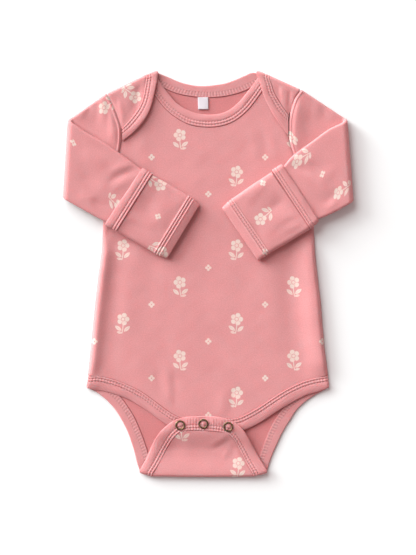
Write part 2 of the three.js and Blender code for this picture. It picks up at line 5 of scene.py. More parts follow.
import bpy
import numpy as np
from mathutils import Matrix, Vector


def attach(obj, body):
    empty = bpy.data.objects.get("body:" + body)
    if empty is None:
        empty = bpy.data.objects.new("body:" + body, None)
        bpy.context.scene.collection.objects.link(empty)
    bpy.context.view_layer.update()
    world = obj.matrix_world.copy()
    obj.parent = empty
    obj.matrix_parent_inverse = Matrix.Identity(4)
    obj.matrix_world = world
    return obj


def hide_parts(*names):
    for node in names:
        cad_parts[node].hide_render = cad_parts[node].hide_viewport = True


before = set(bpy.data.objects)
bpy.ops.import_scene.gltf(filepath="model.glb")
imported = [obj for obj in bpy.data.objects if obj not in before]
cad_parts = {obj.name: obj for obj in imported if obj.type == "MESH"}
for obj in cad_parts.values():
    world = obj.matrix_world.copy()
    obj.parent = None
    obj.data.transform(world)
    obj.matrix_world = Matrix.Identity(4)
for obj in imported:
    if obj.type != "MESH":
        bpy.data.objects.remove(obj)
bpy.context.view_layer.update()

# ------------------------------------------------------------------ driving sizes
CLOTH, BIND = 1.0, 1.6
BACK, BACK_BIND, SIDE_SEAM, FRONT, FRONT_BIND, LAP = 0.5, 0.8, 1.5, 3.2, 3.3, 5.0
FLAP_FOLD, FLAP_LOW, FLAP_BAND = 4.7, 3.3, 7.2
ROLL_LEFT, ROLL_RIGHT = 6.0, 6.4
SLEEVE_HALF, SLEEVE_LIFT, SLEEVE_BEND = 1.7, 5.4, 3.2
CUFF_HALF = 3.3
FORE_Z = SLEEVE_LIFT + SLEEVE_BEND
SHOULDER_IN = 3.1
KEY, LOW, FILL = 3.92, 3.15, 0.44   # sun strengths and the white surroundings
PITCH = 2.85                  # stitch length of the cover seam
ROWS_AT = (2.4, 5.2)          # its two needle rows, from the seam edge of a binding
RIDGES_AT = (1.1, 3.8)        # raised thread lines beside and between them
HEM_ROWS = (8.8, 11.3)        # needle rows of a mitten, from its hand end

# ------------------------------------------------------------------ outline tables
SIDE = np.array([  # y, left, right
    (85, -98.5, 98.9), (62, -99.2, 99.6), (43.2, -99.8, 100.1), (20.4, -101.1, 101.1), (-2.4, -104.2, 103.6),
    (-25.2, -106.8, 106.4), (-48, -109.2, 108.2), (-70.8, -111.4, 110.2), (-96.6, -114.2, 113.6)], float)
ARMHOLE = {
    "left": [(-95.9, 171.7), (-92, 163.5), (-88.1, 154.8), (-85.1, 147), (-82.9, 140.2), (-82.4, 132),
             (-83.2, 121.8), (-84.9, 113), (-90.5, 98.3), (-98.5, 85)],
    "right": [(87.1, 175.6), (82.2, 166.8), (78.4, 155.9), (76.6, 147), (76.1, 138), (76.4, 131),
              (77.8, 123.2), (81, 113.5), (89, 96.4), (98.9, 85)]}
SHOULDER = {
    "left": dict(arm=(-95.9, 171.7), seam=(-60.2, 189.2), peak=(-48.7, 193.4), out=(-0.400, 0.916)),
    "right": dict(arm=(87.1, 175.6), seam=(59.1, 188.2), peak=(46.7, 193.4), out=(0.395, 0.919))}
# sections of bindings: seam point (sx, sy), free-edge point (fx, fy)
LAP_LEFT = [(-82.3, 137.8, -81.9, 125.6), (-76.6, 143.9, -71, 134.4), (-71.1, 150.5, -63, 142.8),
            (-65.9, 158.1, -56.6, 153.4), (-62.6, 166.5, -52.6, 164.2), (-60.6, 176, -50.2, 175.2)]
NECK_BACK = [(-50.5, 181.2, -41.2, 187.9), (-40.3, 175.6, -33, 184.6), (-29.4, 171.2, -24, 181.4),
             (-18.4, 168.9, -14.5, 179.2), (-3.1, 167.4, -2, 178.5), (14.3, 168.4, 11.5, 180.1),
             (30.6, 172.3, 25.2, 184.3), (40.5, 176.6, 34, 188.2), (50, 181.8, 41, 191)]
LAP_RIGHT = [(60.2, 179.5, 48.9, 181.5), (62.7, 171.8, 51.7, 171.8), (67, 164, 55.6, 161.8),
             (71.2, 157.6, 61.4, 150.6), (76.1, 150.6, 75.6, 131.8)]
NECK_FRONT = [(-57.5, 178.5, -48.6, 186), (-50.1, 168, -43, 177.2), (-40.3, 155.9, -33, 165.4),
              (-29.4, 147.3, -24.5, 158), (-18.4, 141.7, -15.8, 153.7), (-7.5, 139.5, -6.8, 151.4),
              (3, 139, 3, 151), (14.3, 140.7, 12.5, 152.6), (25.2, 145.1, 21, 156.4), (36.1, 153.7, 29.5, 163.6),
              (44.5, 163.5, 37, 172.2), (50.8, 172.3, 42.5, 179.6), (56.2, 179.4, 47, 186.2)]
FRONT_SHOULDER = {"left": (-93.2, 166.2), "right": (84.4, 170.6)}
TAB_LEFT = [(-2, -138, -2, -150.8), (-16, -137.8, -17, -150.8), (-25.5, -137, -30.5, -149.3),
            (-33, -133.9, -38.3, -144.6), (-41.7, -128.1, -46.6, -138.9), (-52.2, -120.2, -55.9, -132.2),
            (-62.6, -112.9, -66.1, -125.4), (-73.1, -107.2, -76.6, -119.5), (-83.5, -102.8, -87, -115.5),
            (-94, -99.5, -97.5, -112.4), (-104.5, -97.4, -107.6, -110.6)]
BACK_LEFT = [(-104, -100.3, -107.8, -112.4), (-92, -109.5, -98.5, -118.8), (-82.8, -118.3, -90.5, -127),
             (-76.4, -127, -84.8, -135), (-70.3, -137.1, -79.9, -144.6), (-65.5, -147.8, -75.4, -154.5),
             (-61.3, -158.6, -71.7, -165), (-57.1, -171.5, -68.6, -176.8)]
FLAP_LEFT = [(-47.9, -182.9, -59.9, -177.4), (-43.1, -174, -54.9, -165.9), (-38.3, -164.6, -48.7, -154.8),
             (-33.2, -156.7, -41.7, -146.4), (-27.2, -151, -33.4, -139.9), (-19.5, -149.2, -23, -136.4),
             (-9.5, -149, -11, -135.4), (0.5, -149.6, 1.5, -135.5)]
FLAP_RIGHT = [(9.6, -150.4, 13, -137), (18.6, -152.6, 24, -140.4), (24.6, -158.6, 32.2, -147.4),
              (29.8, -168, 39, -157.6), (35.4, -179.4, 46.4, -172)]
BACK_RIGHT = [(48, -175, 59.6, -176.5), (54.1, -158.6, 65.6, -161.5), (59.7, -145.6, 71.2, -150),
              (66.2, -134.4, 77.6, -139.6), (74.4, -124, 84.6, -129.6), (85, -113.8, 93, -121.4),
              (98.4, -104.4, 103.6, -114.4)]
TAB_RIGHT = [(100.8, -99.3, 104.2, -112.7), (90.4, -102.2, 93.8, -115.5), (79.9, -106.8, 83.3, -120.4),
             (69.4, -112.6, 72.9, -126.2), (58.9, -119.4, 62.9, -133), (48.4, -126.4, 53, -139.4),
             (38, -132.4, 42.7, -145.2), (27.6, -136.9, 31.5, -149.6), (16, -138.2, 17, -151)]
LEG_CORNER = {"left": dict(s=(-112.4, -97.8), f=(-114.6, -109.2), out=(-0.983, 0.184)),
              "right": dict(s=(111.7, -97.4), f=(113.3, -109), out=(0.990, 0.137))}
CROTCH = {"left": dict(s=(-52.9, -190.4), f=(-65.6, -187.2)), "right": dict(s=(42.2, -190.6), f=(55.9, -187.2))}
ARM = {
    "left": dict(
        top=(-96.9, 170.6), pit=(-99.4, 84.4), shift=-0.5, out=(-0.998, 0.061),
        up=[(-128.3, 148.6), (-132.9, 74.4)], fore=[(-128.3, 141.9), (-132.9, 68.9)],
        upper=[(-113.7, 131.9), (-101.2, 124.9), (-84.5, 113.8), (-75.9, 107.6), (-64.4, 98.9), (-11.3, 63.9)],
        lower=[(-121.7, 62.7), (-108.6, 55.3), (-102.7, 52.2), (-97.4, 49.4), (-68, 33.8), (-38.6, 18)],
        mitten=[(-53.6, 93.1, -86.8, 40.7), (-35, 82.5, -68, 29.8), (-17.6, 72.2, -49.3, 19.2), (-8.8, 65, -38.9, 15.3)],
        band=[(-62.6, 99.8, -97.8, 47.0), (-53.2, 93.5, -86.4, 40.6)]),
    "right": dict(
        top=(88.2, 174.4), pit=(99.8, 84.4), shift=0.5, out=(0.997, 0.075),
        up=[(126.9, 148.8), (132.7, 71)], fore=[(126.9, 142.3), (132.7, 65.8)],
        upper=[(114.9, 136.6), (98.5, 124.7), (81, 111.9), (75.6, 106.2), (71.5, 101.2), (16.1, 61)],
        lower=[(120.9, 59.1), (113.5, 55.6), (107.8, 53.3), (103.9, 51.6), (76, 34), (47.3, 15.6)],
        mitten=[(60.1, 95.6, 96, 42.3), (41, 83.2, 76.2, 30.2), (22, 69.6, 55.5, 18.2), (13.6, 62, 47.4, 12.8)],
        band=[(69.8, 103.5, 105, 50.1), (60.4, 97.1, 96.2, 42.6)])}
SNAPS = {"left": (-26.7, -143.9), "middle": (-4.7, -142.6), "right": (18.8, -145.4)}
LABEL = dict(x=(-9.7, -0.1), y=(156.5, 166.9), z=1.7)

# Folds of the front layers: a row for each soft ridge (height over 0) or trough (under 0).
FOLDS = [  # x0, y0, x1, y1, bow, width, height
    (-88.0, 44.0, -93.5, -94.0, 1.5, 8.0, -0.35),      # trough inside the left roll
    (-70.0, 30.0, -78.0, -70.0, -3.0, 12.0, 0.50),
    (74.0, 40.0, 88.0, -98.0, -2.0, 9.0, -0.60),       # trough inside the right roll
    (92.0, 30.0, 102.0, -84.0, 1.0, 5.0, 0.50),        # right roll
    (52.0, 8.0, 66.0, -70.0, 3.0, 14.0, 0.35),
    (-41.0, -84.0, -35.0, -126.0, 0.5, 4.6, 0.40),     # short ridge above the left snap
    (-32.5, -92.0, -30.0, -130.0, -0.5, 4.0, -0.30),
    (-50.0, -92.0, -46.0, -116.0, 0.5, 5.0, -0.40),
    (14.0, -112.0, 12.0, -136.0, 0.0, 5.0, 0.40),
    (23.0, -110.0, 24.0, -134.0, 0.0, 4.0, -0.35),
    (-12.0, 128.0, -20.0, 60.0, 2.0, 15.0, 0.35),
    (40.0, 138.0, 46.0, 96.0, 1.5, 5.0, 0.28),         # soft bands below the right lap
    (49.0, 140.0, 55.0, 104.0, 1.5, 4.0, -0.26),
    (60.0, 132.0, 64.0, 106.0, 1.0, 4.5, 0.28),
    (-58.0, 140.0, -40.0, 112.0, -2.0, 7.0, -0.40),
    (-66.0, 128.0, -52.0, 96.0, -2.0, 7.0, 0.40),
    (-104.0, 42.0, -66.0, 20.0, 1.0, 8.0, -1.40),      # hollow below the left mitten
    (-90.5, 54.0, -93.0, 20.0, 0.5, 5.2, -1.60),
    (-66.0, 18.0, -40.0, 2.0, 1.0, 8.0, -0.40),
    (25.0, -166.0, 33.0, -186.0, 1.0, 4.0, 0.55),      # on the crotch flap
    (3.0, -168.0, 27.0, -151.0, -1.5, 3.0, -0.45),
    (-1.0, -163.0, 22.0, -149.0, -1.5, 3.2, 0.30),
    (14.0, -176.0, 24.0, -164.0, 1.0, 3.5, 0.40),
    (-28.0, -158.0, -38.0, -182.0, -1.0, 4.6, -0.22),
    (-16.0, -160.0, -24.0, -184.0, -1.0, 6.0, 0.25),
    (-4.0, -166.0, 2.0, -186.0, 1.0, 6.0, -0.18),
]
LAP_FOLDS = [
    (-85.0, 164.0, -81.0, 142.0, 1.0, 2.6, 0.60), (-66.0, 182.0, -72.5, 148.0, 1.5, 5.0, -1.25),
    (-90.0, 172.0, -87.0, 158.0, 1.0, 2.0, -0.40),
    (66.0, 182.0, 72.0, 156.0, -1.0, 2.8, -0.45), (70.0, 180.0, 72.0, 156.0, -1.0, 2.6, 0.50),
    (77.5, 178.0, 76.0, 150.0, 0.5, 2.4, -0.80),
]
UPPER_ARM_FOLDS = {
    "left": [(-106.0, 166.0, -107.0, 140.0, 0.5, 4.6, -0.45), (-100.5, 170.0, -99.0, 140.0, -0.5, 3.6, 0.75),
             (-93.0, 174.0, -90.0, 154.0, -0.5, 3.2, -0.85), (-92.5, 154.0, -89.0, 122.0, -0.5, 3.6, 0.95), (-119.0, 160.0, -122.0, 146.0, 0.5, 4.5, 0.90),
             (-112.0, 162.0, -116.0, 148.0, 0.3, 2.4, -0.50)],
    "right": [(83.0, 172.0, 81.0, 114.0, 1.0, 9.0, 1.40), (99.0, 168.0, 97.0, 134.0, 1.0, 5.0, -0.30),
              (104.0, 166.0, 99.0, 128.0, 0.0, 6.0, 0.40), (107.0, 160.0, 110.0, 144.0, 0.5, 5.0, -0.40),
              (117.0, 156.0, 119.0, 146.0, 0.0, 5.0, 0.35)],
}
FOREARM_FOLDS = {
    "left": [(-94.0, 87.0, -65.0, 98.5, 2.0, 3.4, -0.75), (-92.0, 97.0, -70.0, 104.0, 1.0, 3.2, 0.45),
             (-92.0, 78.0, -72.0, 88.0, 1.5, 4.0, 0.42), (-118.0, 116.0, -96.0, 104.0, -2.0, 7.0, 0.50),
             (-126.0, 92.0, -104.0, 80.0, 2.0, 6.0, -0.45), (-124.0, 74.0, -106.0, 66.0, 1.0, 5.0, 0.50),
             (-112.0, 70.0, -95.0, 60.0, 1.0, 3.5, -0.40)],
    "right": [(96.0, 94.0, 76.0, 103.0, -1.5, 3.4, -0.65), (100.0, 104.0, 82.0, 110.0, -1.0, 4.0, 0.45),
              (124.0, 100.0, 104.0, 84.0, -2.0, 6.0, 0.50), (126.0, 82.0, 108.0, 66.0, 1.0, 5.0, -0.45),
              (122.0, 70.0, 110.0, 60.0, 1.0, 4.0, 0.50)],
}
MITTEN_FOLDS = {
    "left": [(-52.0, 86.0, -30.0, 66.0, 1.5, 5.0, -0.45), (-46.0, 80.0, -24.0, 62.0, -1.0, 4.0, 0.40),
             (-74.0, 58.0, -44.0, 42.0, -2.0, 6.0, 0.45), (-80.0, 50.0, -56.0, 36.0, 1.5, 4.0, -0.40),
             (-58.0, 62.0, -48.0, 34.0, 1.0, 6.0, -0.25)],
    "right": [(58.0, 88.0, 36.0, 68.0, -1.5, 5.0, 0.45), (72.0, 72.0, 46.0, 52.0, 1.5, 5.0, -0.40),
              (88.0, 48.0, 64.0, 34.0, -1.0, 4.5, 0.45), (80.0, 58.0, 52.0, 38.0, 1.0, 5.0, 0.30)],
}

# ------------------------------------------------------------------ small maths


def smooth(a, b, x):
    t = np.clip((np.asarray(x, float) - a) / (b - a), 0, 1)
    return t * t * (3 - 2 * t)


def bump(x, c, w):
    return np.exp(-(((x - c) / w) ** 2))


def point(pts, t):
    """Points of the centripetal curve through pts, at t from 0 to 1 counted evenly by segment."""
    pts = np.asarray(pts, float)
    n = len(pts)
    ext = np.vstack([2 * pts[0] - pts[1], pts, 2 * pts[-1] - pts[-2]])
    x = np.asarray(t, float) * (n - 1)
    i = np.minimum(np.floor(x).astype(int), n - 2)
    w = (x - i)[:, None]
    p = [ext[i + k] for k in range(4)]
    dt = [np.maximum(((p[k + 1] - p[k]) ** 2).sum(1) ** 0.25, 1e-4)[:, None] for k in range(3)]
    t1 = ((p[1] - p[0]) / dt[0] - (p[2] - p[0]) / (dt[0] + dt[1]) + (p[2] - p[1]) / dt[1]) * dt[1]
    t2 = ((p[2] - p[1]) / dt[1] - (p[3] - p[1]) / (dt[1] + dt[2]) + (p[3] - p[2]) / dt[2]) * dt[1]
    return p[1] + t1 * w + (-3 * p[1] + 3 * p[2] - 2 * t1 - t2) * w ** 2 + (2 * p[1] - 2 * p[2] + t1 + t2) * w ** 3


def spaced(pts, n):
    """n + 1 points evenly spaced along the curve."""
    pts = np.asarray(pts, float)
    u = np.linspace(0, 1, n + 1)
    if len(pts) < 3:
        return pts[0] + (pts[1] - pts[0]) * u[:, None]
    t = np.linspace(0, 1, 401)
    q = point(pts, t)
    run = np.concatenate([[0], np.cumsum(np.linalg.norm(np.diff(q, axis=0), axis=1))])
    return point(pts, np.interp(u * run[-1], run, t))


def patch(top, bottom, left, right):
    """Grid between four boundaries."""
    n, m = len(left) - 1, len(top) - 1
    v, u = np.linspace(0, 1, n + 1)[:, None, None], np.linspace(0, 1, m + 1)[None, :, None]
    return ((1 - v) * top[None] + v * bottom[None] + (1 - u) * left[:, None] + u * right[:, None]
            - ((1 - u) * (1 - v) * top[0] + u * (1 - v) * top[-1] + (1 - u) * v * bottom[0] + u * v * bottom[-1]))


def wander(x, y, seed, size, n=8):
    """A slow, seeded unevenness between about -1 and 1."""
    r = np.random.default_rng(seed)
    z = 0
    for _ in range(n):
        a, w, ph = r.uniform(0, 2 * np.pi), size * r.uniform(0.6, 1.8), r.uniform(0, 2 * np.pi)
        z = z + np.sin((x * np.cos(a) + y * np.sin(a)) * 2 * np.pi / w + ph)
    return z / n ** 0.5 / 1.2


def creases(x, y, rows):
    z = np.zeros(np.broadcast(x, y).shape)
    for x0, y0, x1, y1, bow, wide, high in rows:
        dx, dy = x1 - x0, y1 - y0
        size = math.hypot(dx, dy)
        t = ((x - x0) * dx + (y - y0) * dy) / size ** 2
        off = ((y - y0) * dx - (x - x0) * dy) / size - bow * 4 * t * (1 - t)
        w = wide * (0.75 + 0.5 * np.clip(t, 0, 1))
        z = z + high * np.exp(-(off / w) ** 2) * smooth(-0.12, 0.3, t) * smooth(1.12, 0.6, t)
    return z


def front_wave(x, y, z):
    """How far the folds move the front layers up or down; nothing moves on the table."""
    w = creases(x, y, FOLDS) + 0.22 * wander(x, y, 11, 70) + 0.09 * wander(x, y, 12, 24)
    w = np.where(w < 0, np.maximum(w, -1.6), w)
    return w * smooth(1.3, 3.0, z)


def seam_of(rows):
    return [(r[0], r[1]) for r in rows]


def free_of(rows):
    return [(r[2], r[3]) for r in rows]


def edge_of(rows, clear):
    out = []
    for sx, sy, fx, fy in rows:
        w = math.hypot(fx - sx, fy - sy)
        out.append((sx - (fx - sx) * clear / w, sy - (fy - sy) * clear / w))
    return out


def at(p, z):
    p = np.asarray(p, float)
    return np.concatenate([p, np.broadcast_to(np.asarray(z, float), p.shape[:-1])[..., None]], -1)


def fold(p, out, z0, z1, turn):
    """Points of a fold between two levels: axis points, outward direction, turn from 0 to 1."""
    r, a = (z1 - z0) / 2, np.pi * turn
    q = np.asarray(p, float) + np.asarray(out, float) * r * math.sin(a)
    return at(q, (z0 + z1) / 2 - r * math.cos(a))


# ------------------------------------------------------------------ meshes


def mesh_object(name, verts, faces, uvs, slots, mats):
    """faces, uvs and slots are lists of equal length: index arrays, their corner coordinates in mm, a material index."""
    me = bpy.data.meshes.new(name)
    me.vertices.add(len(verts))
    me.vertices.foreach_set("co", (np.asarray(verts) * 0.001).astype(np.float32).ravel())
    sizes = np.concatenate([np.full(len(f), f.shape[1]) for f in faces])
    loops = np.concatenate([f.ravel() for f in faces])
    me.loops.add(len(loops))
    me.loops.foreach_set("vertex_index", loops.astype(np.int32))
    me.polygons.add(len(sizes))
    me.polygons.foreach_set("loop_start", np.concatenate([[0], np.cumsum(sizes)[:-1]]).astype(np.int32))
    me.polygons.foreach_set("material_index", np.concatenate([np.broadcast_to(s, len(f)) for f, s in zip(faces, slots)]).astype(np.int32))
    me.polygons.foreach_set("use_smooth", np.ones(len(sizes), bool))
    layer = me.uv_layers.new(name="flat")
    layer.data.foreach_set("uv", (np.concatenate([u.reshape(-1, 2) for u in uvs]) * 0.001).astype(np.float32).ravel())
    me.update(calc_edges=True)
    me.validate()
    for m in mats:
        me.materials.append(m)
    o = bpy.data.objects.new(name, me)
    bpy.context.scene.collection.objects.link(o)
    return o


def shell(name, grids, wall, mats):
    """A cloth piece: grids of mid-surface points with their places on the cut, sewn where points coincide,
    moved out and in by half the wall, with a rounded edge. A grid is (points, places, turned over, raise)."""
    P = np.concatenate([g[0].reshape(-1, 3) for g in grids])
    UV = np.concatenate([g[1].reshape(-1, 2) for g in grids])
    up = np.concatenate([(np.zeros(g[0].shape[:2]) if len(g) < 4 else np.broadcast_to(g[3], g[0].shape[:2])).ravel() for g in grids])
    quads, start = [], 0
    for g in grids:
        n, m = g[0].shape[:2]
        ids = np.arange(n * m).reshape(n, m) + start
        start += n * m
        q = np.stack([ids[:-1, :-1], ids[:-1, 1:], ids[1:, 1:], ids[1:, :-1]], -1).reshape(-1, 4)
        quads.append(q[:, ::-1] if g[2] else q)
    quads = np.concatenate(quads)
    _, first, inv = np.unique(np.round(P * 500).astype(np.int64), axis=0, return_index=True, return_inverse=True)
    inv = inv.ravel()
    V, C = P[first], len(first)
    w = inv[quads]
    same = np.stack([w[:, k] == w[:, (k + 1) % 4] for k in range(4)], 1)
    full = ~same.any(1)
    groups = [(quads[full], w[full])]
    for k in range(4):
        pick = same[:, k] & (same.sum(1) == 1)
        if pick.any():
            keep = [j for j in range(4) if j != k]
            groups.append((quads[pick][:, keep], w[pick][:, keep]))
    N = np.zeros((C, 3))
    for _, f in groups:
        c = np.cross(V[f[:, 2]] - V[f[:, 0]], V[f[:, -1]] - V[f[:, 1]]) if f.shape[1] == 4 else np.cross(V[f[:, 1]] - V[f[:, 0]], V[f[:, 2]] - V[f[:, 0]])
        for k in range(f.shape[1]):
            np.add.at(N, f[:, k], c)
    N /= np.maximum(np.linalg.norm(N, axis=1, keepdims=True), 1e-9)
    lift = np.zeros(C)
    lift[inv] = up
    a = np.concatenate([f[:, k] for _, f in groups for k in range(f.shape[1])])
    b = np.concatenate([f[:, (k + 1) % f.shape[1]] for _, f in groups for k in range(f.shape[1])])
    oa = np.concatenate([o[:, k] for o, f in groups for k in range(f.shape[1])])
    ob = np.concatenate([o[:, (k + 1) % f.shape[1]] for o, f in groups for k in range(f.shape[1])])
    edge = ~np.isin(a.astype(np.int64) * C + b, b.astype(np.int64) * C + a)
    a, b, oa, ob = a[edge], b[edge], oa[edge], ob[edge]
    out = np.zeros((C, 3))
    side = np.cross(V[b] - V[a], N[a] + N[b])
    side /= np.maximum(np.linalg.norm(side, axis=1, keepdims=True), 1e-9)
    np.add.at(out, a, side)
    np.add.at(out, b, side)
    rim = np.unique(np.concatenate([a, b])) if len(a) else np.zeros(0, int)
    out[rim] /= np.maximum(np.linalg.norm(out[rim], axis=1, keepdims=True), 1e-9)
    place = np.full(C, -1)
    place[rim] = 2 * C + np.arange(len(rim))
    verts = np.concatenate([V + N * (wall / 2 + lift[:, None]), V - N * wall / 2, V[rim] + out[rim] * wall * 0.42 + N[rim] * lift[rim][:, None] * 0.5])
    faces, uvs, slots = [], [], []
    for o, f in groups:
        faces += [f, f[:, ::-1] + C]
        uvs += [UV[o], UV[o[:, ::-1]]]
        slots += [0, 1]
    if len(a):
        for lo, hi in (((b, a), (place[a], place[b])), ((place[b], place[a]), (a + C, b + C))):
            faces.append(np.stack([lo[0], lo[1], hi[0], hi[1]], 1))
            uvs.append(np.stack([UV[ob], UV[oa], UV[oa], UV[ob]], 1))
            slots.append(0)
    return mesh_object(name, verts, faces, uvs, slots, mats)


# ------------------------------------------------------------------ materials


class Graph:
    def __init__(self, name):
        self.mat = bpy.data.materials.new(name)
        self.mat.use_nodes = True
        self.tree = self.mat.node_tree
        self.shader = self.tree.nodes["Principled BSDF"]

    def node(self, kind, **values):
        n = self.tree.nodes.new(kind)
        for k, v in values.items():
            setattr(n, k, v)
        return n

    def put(self, socket, value):
        if isinstance(value, (int, float)):
            socket.default_value = value
        elif isinstance(value, (tuple, list)):
            socket.default_value = value[:3] if socket.type == "VECTOR" else value
        else:
            self.tree.links.new(value, socket)

    def m(self, op, *args, clamp=False):
        n = self.node("ShaderNodeMath", operation=op, use_clamp=clamp)
        for k, a in enumerate(args):
            self.put(n.inputs[k], a)
        return n.outputs[0]

    def add(self, *a):
        out = a[0]
        for b in a[1:]:
            out = self.m("ADD", out, b)
        return out

    def mul(self, *a):
        out = a[0]
        for b in a[1:]:
            out = self.m("MULTIPLY", out, b)
        return out

    def sub(self, a, b):
        return self.m("SUBTRACT", a, b)

    def ramp(self, x, lo, hi, a=0.0, b=1.0):
        n = self.node("ShaderNodeMapRange", interpolation_type="SMOOTHSTEP")
        self.put(n.inputs["Value"], x)
        for k, v in (("From Min", lo), ("From Max", hi), ("To Min", a), ("To Max", b)):
            self.put(n.inputs[k], v)
        return n.outputs["Result"]

    def band(self, x, centre, half, soft):
        """1 where x is within half of centre."""
        return self.ramp(self.m("ABSOLUTE", self.sub(x, centre)), half + soft, half - soft)

    def flat(self):
        n = self.node("ShaderNodeUVMap", uv_map="flat")
        s = self.node("ShaderNodeSeparateXYZ")
        self.tree.links.new(n.outputs["UV"], s.inputs[0])
        self.u, self.v = self.mul(s.outputs[0], 1000.0), self.mul(s.outputs[1], 1000.0)
        return self.u, self.v

    def vector(self, x, y, z=0.0):
        n = self.node("ShaderNodeCombineXYZ")
        for k, a in enumerate((x, y, z)):
            self.put(n.inputs[k], a)
        return n.outputs[0]

    def noise(self, scale, detail=2.0, rough=0.5, vector=None):
        n = self.node("ShaderNodeTexNoise")
        self.put(n.inputs["Vector"], vector if vector is not None else self.vector(self.u, self.v))
        self.put(n.inputs["Scale"], scale)
        self.put(n.inputs["Detail"], detail)
        self.put(n.inputs["Roughness"], rough)
        return n.outputs["Fac"]

    def blend(self, fac, a, b):
        n = self.node("ShaderNodeMix", data_type="RGBA")
        self.put(n.inputs[0], fac)
        self.put(n.inputs[6], a)
        self.put(n.inputs[7], b)
        return n.outputs[2]

    def scale_colour(self, colour, k):
        n = self.node("ShaderNodeVectorMath", operation="SCALE")
        self.put(n.inputs[0], colour)
        self.put(n.inputs["Scale"], k)
        return n.outputs[0]

    def bump(self, height, distance, strength=1.0):
        n = self.node("ShaderNodeBump")
        self.put(n.inputs["Height"], height)
        n.inputs["Distance"].default_value = distance
        n.inputs["Strength"].default_value = strength
        self.tree.links.new(n.outputs["Normal"], self.shader.inputs["Normal"])

    def finish(self, colour, rough, sheen=0.0, metal=0.0, tint=(1, 1, 1, 1), specular=0.3, through=0.0):
        self.put(self.shader.inputs["Base Color"], colour)
        self.put(self.shader.inputs["Roughness"], rough)
        self.shader.inputs["Metallic"].default_value = metal
        self.shader.inputs["Specular IOR Level"].default_value = specular
        self.shader.inputs["Sheen Weight"].default_value = sheen
        self.shader.inputs["Sheen Roughness"].default_value = 0.45
        self.shader.inputs["Sheen Tint"].default_value = tint
        if through:                                    # light that goes through thin cotton comes out redder
            self.shader.inputs["Subsurface Weight"].default_value = through
            self.shader.inputs["Subsurface Radius"].default_value = (1.0, 0.22, 0.22)
            self.shader.inputs["Subsurface Scale"].default_value = 0.0025
        return self.mat


def srgb(r, g, b):
    return tuple((c / 255 / 12.92 if c / 255 <= 0.04045 else ((c / 255 + 0.055) / 1.055) ** 2.4) for c in (r, g, b)) + (1.0,)


PINK = srgb(211, 150, 151)
# the plain reverse side: its own colour, made darker than the face partly as painted shade for the insides seen in
# the openings
PINK_INSIDE_SHADED = srgb(203, 133, 134)
RIB = srgb(210, 150, 151)
# a pale pink: the thread's own colour, and also a painted highlight on the raised lines of bindings and hems
PALE_THREAD_AND_HIGHLIGHT = srgb(226, 176, 176)
SEAM_DEEP = srgb(160, 84, 86)
CREAM = srgb(224, 207, 198)


def blossom(g, x, y, cx, cy, radius, petals, waist):
    """Mask of a round-petalled flower."""
    px, py = g.sub(x, cx), g.sub(y, cy)
    rho = g.m("SQRT", g.add(g.mul(px, px), g.mul(py, py)))
    wave = g.m("ABSOLUTE", g.m("COSINE", g.mul(g.m("ARCTAN2", py, px), petals / 2)))
    edge = g.add(radius * waist, g.mul(g.m("POWER", wave, 0.6), radius * (1 - waist)))
    return g.ramp(g.sub(rho, edge), 0.22, -0.22), rho, wave


def leaf(g, x, y, cx, cy, angle, long, wide):
    c, s = math.cos(angle), math.sin(angle)
    px, py = g.sub(x, cx), g.sub(y, cy)
    a = g.add(g.mul(px, c), g.mul(py, s))
    b = g.sub(g.mul(py, c), g.mul(px, s))
    near = g.m("ABSOLUTE", g.mul(a, 1 / long))
    half = g.mul(g.m("SUBTRACT", 1.0, g.mul(near, near), clamp=True), wide)
    body = g.ramp(g.sub(g.m("ABSOLUTE", b), half), 0.16, -0.16)
    vein = g.mul(g.band(b, 0, 0.13, 0.1), g.ramp(near, 0.85, 0.6))
    return g.mul(body, g.m("SUBTRACT", 1.0, g.mul(vein, 0.75)), g.ramp(near, 1.0, 0.94))


